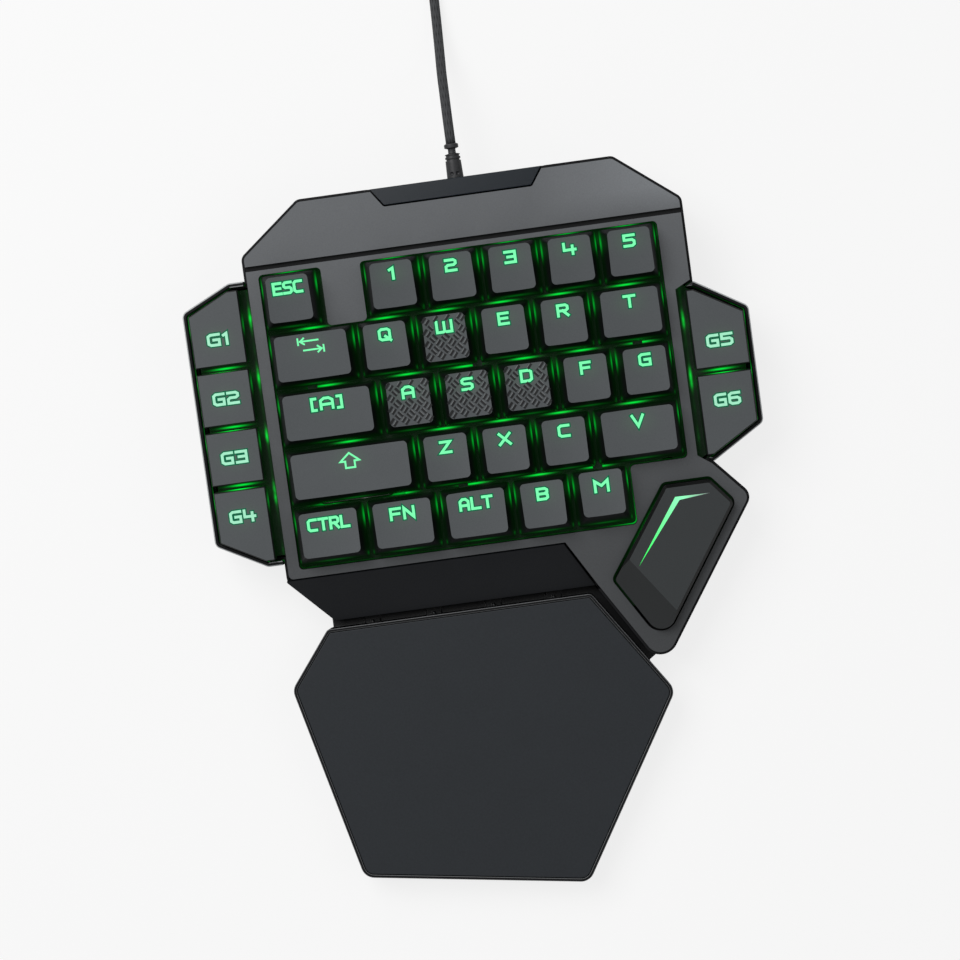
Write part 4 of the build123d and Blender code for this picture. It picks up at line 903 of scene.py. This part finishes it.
# Each letter's strokes on a grid six high: corners as across,up.
letter_strokes = {
    "A": "0,0 0,4.7 1.2,6 2.8,6 4,4.7 4,0; 0,2.4 4,2.4",
    "B": "0,3.1 3.2,3.1 4,3.9 4,5.2 3.2,6 0,6 0,0 3.2,0 4,0.8 4,2.3 3.2,3.1",
    "C": "4,6 0.9,6 0,5.1 0,0.9 0.9,0 4,0",
    "D": "2,6 0,6 0,0 3.1,0 4,0.9 4,5.1 3.1,6 2,6",
    "E": "4,6 0,6 0,0 4,0; 0,3.1 3.6,3.1",
    "F": "4,6 0,6 0,0; 0,3 3.5,3",
    "G": "4,6 0.9,6 0,5.1 0,0.9 0.9,0 4,0 4,3 2,3",
    "L": "0,6 0,0 3.8,0",
    "M": "0,0 0,6 2.4,3.2 4.8,6 4.8,0",
    "N": "0,0 0,6 4,0 4,6",
    "Q": "2,0 0.9,0 0,0.9 0,5.1 0.9,6 3.3,6 4.2,5.1 4.2,0.9 3.3,0 2,0; 2.4,1.9 4.4,-0.5",
    "R": "0,0 0,6 3.2,6 4,5.2 4,3.6 3.2,2.8 0,2.8; 2,2.8 4,0",
    "S": "4,6 0.8,6 0,5.2 0,3.9 0.8,3.1 3.2,3.1 4,2.3 4,0.8 3.2,0 0,0",
    "T": "0,6 4.2,6; 2.1,6 2.1,0",
    "V": "0,6 2.1,0 4.2,6",
    "W": "0,6 0,0 4.8,0 4.8,6; 2.4,5.4 2.4,0",
    "X": "0,6 4,0; 0,0 4,6",
    "Z": "0,6 4,6 0,0 4,0",
    "1": "0,5.1 1.1,6 1.1,0",
    "2": "0,6 3.2,6 4,5.2 4,3.9 3.2,3.1 0.8,3.1 0,2.3 0,0 4,0",
    "3": "0,6 4,6 4,0 0,0; 1,3.1 4,3.1",
    "4": "0,6 0,2.4 4.2,2.4; 3.2,4.4 3.2,0",
    "5": "4,6 0,6 0,3.4 3.2,3.4 4,2.6 4,0.8 3.2,0 0,0",
    "6": "4,6 0.9,6 0,5.1 0,0.9 0.9,0 3.2,0 4,0.8 4,2.5 3.2,3.3 0,3.3",
    "[": "1.3,6.2 0,6.2 0,-0.4 1.3,-0.4",
    "]": "0,6.2 1.3,6.2 1.3,-0.4 0,-0.4",
}
legend_widths = {
    "esc": 0.0098, "1": 0.0019, "2": 0.0040, "3": 0.0040, "4": 0.0044, "5": 0.0040, "q": 0.0043,
    "w": 0.0056, "e": 0.0038, "r": 0.0040, "t": 0.0041, "caps": 0.0104, "a": 0.0042, "s": 0.0040,
    "d": 0.0041, "f": 0.0037, "g": 0.0041, "z": 0.0040, "x": 0.0042, "c": 0.0040, "v": 0.0043,
    "ctrl": 0.0138, "fn": 0.0082, "alt": 0.0110, "b": 0.0040, "m": 0.0050, "g1": 0.0068,
    "g2": 0.0086, "g3": 0.0086, "g4": 0.0086, "g5": 0.0086, "g6": 0.0086,
}
tab_arrow = (
    "-4,0.5 -4,2.4; -3.3,1.45 2.4,1.45; -2.1,2.4 -3.3,1.45 -2.1,0.5; 4,-2.4 4,-0.5; 3.3,-1.45 "
    "-2.4,-1.45; 2.1,-2.4 3.3,-1.45 2.1,-0.5"
)
shift_arrow = "1.5,-0.2 3.1,-0.2 0,2.4 -3.1,-0.2 -1.5,-0.2 -1.5,-2.3 1.5,-2.3 1.5,-0.2"


def lit_resin(name, colour, body=resin_body, gloss=0.5):
    """Clear resin lit from below: its light varies a little along each stroke."""
    made, tree, shader = new_material(name, body, resin_roughness, gloss)
    light_up(tree, shader, uneven(tree, 0.85, 1.1, scale=700.0, detail=1.0), colour)
    return made


legend_resin = lit_resin("lit_legend", (0.17, 1.0, 0.42))
side_legend_resin = lit_resin("dim_legend", (0.34, 0.80, 0.54))
rim_resin = lit_resin("legend_rim", (0.0, 0.13, 0.055), (0.0, 0.010, 0.006), 0.1)


def strokes_of(text):
    """Strokes, parted by semicolons, with the corners of each parted by spaces."""
    return [[tuple(map(float, corner.split(","))) for corner in stroke.split()]
            for stroke in text.split(";")]


def word_lines(words):
    """The strokes of a word, set letter after letter."""
    lines, start = [], 0.0
    for letter in words:
        strokes = strokes_of(letter_strokes[letter])
        lines += [[(x + start, y) for x, y in line] for line in strokes]
        start += max(x for line in strokes for x, y in line) + letter_gap
    return lines


def fine_line(line, scale):
    """A line's corners scaled to metres, with points between them so that it can bend."""
    corners = [Vector((x * scale[0], y * scale[1])) for x, y in line]
    fine = [corners[0]]
    for a, b in zip(corners, corners[1:]):
        count = max(1, math.ceil((b - a).length / stroke_step))
        fine += [a + (b - a) * (k + 1) / count for k in range(count)]
    return fine


def ribbon_sides(line, half):
    """The two sides of a stroke along a line, mitred at its corners and square at its ends."""
    closed = (line[0] - line[-1]).length < same_spot
    last = len(line) - 1
    sides = []
    for i, spot in enumerate(line):
        before = line[last - 1] if closed and i == 0 else line[max(i - 1, 0)]
        after = line[1] if closed and i == last else line[min(i + 1, last)]
        arrives, goes_on = (spot - before).length > 0, (after - spot).length > 0
        enter = (spot - before).normalized() if arrives else (after - spot).normalized()
        leave = (after - spot).normalized() if goes_on else enter
        normal = Vector((-enter.y - leave.y, enter.x + leave.x)).normalized()
        reach = half / max(normal.dot(Vector((-leave.y, leave.x))), sharpest_mitre)
        end = 0.0 if closed or 0 < i < last else (-half if i == 0 else half)
        sides.append((spot + leave * end + normal * reach, spot + leave * end - normal * reach))
    return sides, closed


def key_top(key_name):
    """A key's surface, to find its top by rays."""
    return BVHTree.FromObject(caps[key_name], bpy.context.evaluated_depsgraph_get())


def drop_on(top, x, y):
    """Where a spot over the deck meets a key's top, and how the top faces there."""
    return top.ray_cast(deck_frame @ Vector((x, y, ray_height)), -deck_up)[:2]


def add_on_key(work, name, key_name, material):
    """Turns built faces into a piece that moves with a key."""
    mesh = bpy.data.meshes.new(name + key_name[4:])
    work.to_mesh(mesh)
    work.free()
    piece = add_object(name + key_name[4:], mesh)
    mesh.materials.append(material)
    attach(piece, key_name)


def set_legend(key_name, lines, scale, stroke, material, name="legend_", proud=legend_proud):
    """Lays strokes on a key's top: each is a thin bar, sunk into the top's surface."""
    spots = [spot for line in lines for spot in line]
    middle = [(min(spot[i] for spot in spots) + max(spot[i] for spot in spots)) / 2
              for i in (0, 1)]
    top = key_top(key_name)
    centre_x, centre_y = legend_centres[key_name]
    work = bmesh.new()
    for line in lines:
        centred = [(x - middle[0], y - middle[1]) for x, y in line]
        sides, closed = ribbon_sides(fine_line(centred, scale), stroke / 2)
        rings = []
        for left, right in sides[:-1] if closed else sides:
            rims = ((left, proud), (right, proud), (right, -legend_sink), (left, -legend_sink))
            rings.append([
                work.verts.new(drop_on(top, centre_x + side.x, centre_y + side.y)[0]
                               + deck_up * rise)
                for side, rise in rims
            ])
        if closed:
            rings.append(rings[0])
        else:
            work.faces.new(rings[0])
            work.faces.new(rings[-1][::-1])
        for first, second in zip(rings, rings[1:]):
            for k in range(4):
                after = (k + 1) % 4
                work.faces.new((first[k], second[k], second[after], first[after]))
    bmesh.ops.recalc_face_normals(work, faces=work.faces)
    add_on_key(work, name, key_name, material)


for key, width in legend_widths.items():
    key_name = "key_" + key
    lines = word_lines("[A]" if key == "caps" else key.upper())
    reach = max(x for line in lines for x, y in line)
    scale = ((width - legend_stroke) / reach, (legend_height - legend_stroke) / letter_rise)
    set_legend(key_name, lines, scale, legend_stroke,
               side_legend_resin if key_name in side_keys else legend_resin)
    set_legend(key_name, lines, scale, legend_stroke + rim_more, rim_resin, "legend_rim_",
               rim_proud)
set_legend("key_tab", strokes_of(tab_arrow), arrow_scale, tab_stroke, legend_resin)
set_legend("key_shift", strokes_of(shift_arrow), arrow_scale, shift_stroke, legend_resin)

# Treads: raised dashes on the four steering keys, moulded in one with their tops.
# Pairs of thin black dashes, painted shadow beside the ridges, stand crosswise to their neighbours,
# with a ridge between.
tread_keys = ("key_w", "key_a", "key_s", "key_d")
tread_cell, tread_rows = 0.0019, 3
tread_slant = 50.0
ridge_size, ridge_round, ridge_sides = (0.0017, 0.00028, 0.00010), 0.00008, (-0.2, 0.8)
dash_size, dash_round, dash_sides = (0.0021, 0.00082, 0.00006), 0.00001, (-0.5, 0.5)
dash_apart = 0.00135
tread_reach_x, tread_reach_y = 0.0064, 0.0068
patch_margin, patch_half_depth = 0.0009, 0.0028
flat_enough = 0.95
ridge_grey, dash_shadow_black = (0.19, 0.20, 0.205), (0.004, 0.005, 0.006)


def dash_block(length, width, rise, rounding):
    """One rounded bar about the origin, half of it above."""
    bpy.ops.mesh.primitive_cube_add(size=1.0)
    bar = bpy.context.active_object
    bar.data.transform(Matrix.Diagonal((length, width, 2 * rise, 1.0)))
    edges = bar.modifiers.new("rounding", "BEVEL")
    edges.width, edges.segments = rounding, 1
    bpy.ops.object.modifier_apply(modifier=edges.name)
    return bar


def tread_marks(sides, patch_half_width):
    """Middle and slant of each bar on a key's top, about the key's centre."""
    for i in range(-tread_rows, tread_rows + 1):
        for j in range(-tread_rows + (i + tread_rows) % 2, tread_rows + 1, 2):
            slant = math.radians(tread_slant if i % 2 else -tread_slant)
            for side in sides:
                dx = i * tread_cell - side * dash_apart * math.sin(slant)
                dy = j * tread_cell + side * dash_apart * math.cos(slant)
                in_patch = (abs(dx) < patch_half_width
                            and abs(dy - legend_back) < patch_half_depth)
                if not in_patch and abs(dx) < tread_reach_x and abs(dy) < tread_reach_y:
                    yield dx, dy, slant


ridge_paint = grained_material("tread_ridges", ridge_grey, 0.3, 2600.0, 0.00001, 0.3)
# Painted shadow: the thin black dashes beside the ridges stand for the ridges' shadows.
dash_shadow_paint = grained_material("tread_dashes", dash_shadow_black, 0.6, 2600.0, 0.00002, 0.3)
tread_bars = (
    ("tread_ridges_", dash_block(*ridge_size, ridge_round), ridge_sides, ridge_paint),
    ("tread_shadow_dashes_", dash_block(*dash_size, dash_round), dash_sides, dash_shadow_paint),
)
for key_name in tread_keys:
    top = key_top(key_name)
    centre_x, centre_y = key_centres[key_name]
    patch_half_width = legend_widths[key_name[4:]] / 2 + patch_margin
    for name, bar, sides, paint in tread_bars:
        tread = bmesh.new()
        for dx, dy, slant in tread_marks(sides, patch_half_width):
            hit, facing = drop_on(top, centre_x + dx, centre_y + dy)
            if facing.dot(deck_up) < flat_enough:
                continue
            turn = facing.to_track_quat("Z", "X").to_matrix()
            heading = Vector((math.cos(slant), math.sin(slant), 0))
            ahead = turn.inverted() @ (deck_turn @ heading)
            spin = Matrix.Rotation(math.atan2(ahead.y, ahead.x), 4, "Z")
            copy = bar.data.copy()
            copy.transform(Matrix.Translation(hit) @ turn.to_4x4() @ spin)
            tread.from_mesh(copy)
            bpy.data.meshes.remove(copy)
        add_on_key(tread, name, key_name, paint)
for name, bar, sides, paint in tread_bars:
    bpy.data.objects.remove(bar)

# Thumb key: one large faceted cap whose near end slopes down, with an inlaid light bar.
# The cap is black ABS with a satin finish; the bar is clear resin lit green.
thumb_grey, thumb_highlight_grey = (0.043, 0.048, 0.050), (0.20, 0.22, 0.22)
thumb_side_shade_facing, thumb_near_end_shade = (0.86, 0.965), (0.975, 0.995, 0.40, 1.0)
thumb_highlight_facing = (0.89, 0.045)
material, tree, shader = new_material("thumb_plastic", thumb_grey, 0.38, gloss=0.4)
# Painted shade darkens the cap's steep sides to near-black and its sloping near end; a painted
# highlight runs round the rounded edge of its top.
facing = vectors(tree, "DOT_PRODUCT", place_of(tree, "Normal"), deck_up)
thumb_colour = shade_between(tree, ramp(tree, facing, *thumb_side_shade_facing), skirt_black_and_shade, thumb_grey)
thumb_colour = shade_between(tree, bell(tree, facing, *thumb_highlight_facing), thumb_colour,
                             thumb_highlight_grey)
grained(tree, shader, tinted(tree, thumb_colour, ramp(tree, facing, *thumb_near_end_shade)),
        scale=2600.0, depth=0.00002, change=0.25)
finished_copy("key_thumb", material, 0.00025, steepest=60.0)

bar_low, bar_corner, bar_tip = (0.02, 1.0, 0.12), (0.25, 1.0, 0.48), (0.36, 0.42, 0.40)
bar_lower_arm, bar_upper_arm = (0.1115, 0.1245), (0.1250, 0.1340)
bar_fade = (0.1255, 0.1370, 1.1, 0.45)
material, tree, shader = new_material("lit_bar", resin_body, resin_roughness)
across = along_deck(tree, (1.0, 0.0, 0.0))
bar_green = shade_between(tree, ramp(tree, across, *bar_lower_arm), bar_low, bar_corner)
bar_colour = shade_between(tree, ramp(tree, across, *bar_upper_arm), bar_green, bar_tip)
light_up(tree, shader, ramp(tree, across, *bar_fade), bar_colour)
finished_copy("thumb_light_bar", material, 0.00008)

# Palm rest: a hollow base with a thin raised rim, clipped to the front of the case.
# A smooth pad with a soft-touch coat is glued into its recess.
palm_black, palm_highlight_grey = (0.0058, 0.0062, 0.0072), (0.36, 0.37, 0.38)
palm_depths = (-0.0080, -0.0060)
pad_grey = (0.0225, 0.0265, 0.0315)
material, tree, shader = new_material("palm_base_plastic", palm_black, 0.4, gloss=0.25)
palm_mask = masks(tree, *palm_depths)
# Painted highlight: the rounded edges of the base above its low floor are painted light grey.
painted_palm_highlight = multiply(tree, without(tree, palm_mask["Low"]), palm_mask["Edge"])
grained(tree, shader, shade_between(tree, painted_palm_highlight, palm_black, palm_highlight_grey))
finished_copy("palm_rest_base", material, 0.0004, clamp=False)
finished_copy("palm_rest_pad", grained_material(
    "soft_touch", pad_grey, 0.5, scale=1500.0, depth=0.00003, gloss=0.35,
), 0.0003)

# Glowing surfaces are seen, and light their neighbours only by reflection.
for material in bpy.data.materials:
    material.cycles.emission_sampling = "NONE"
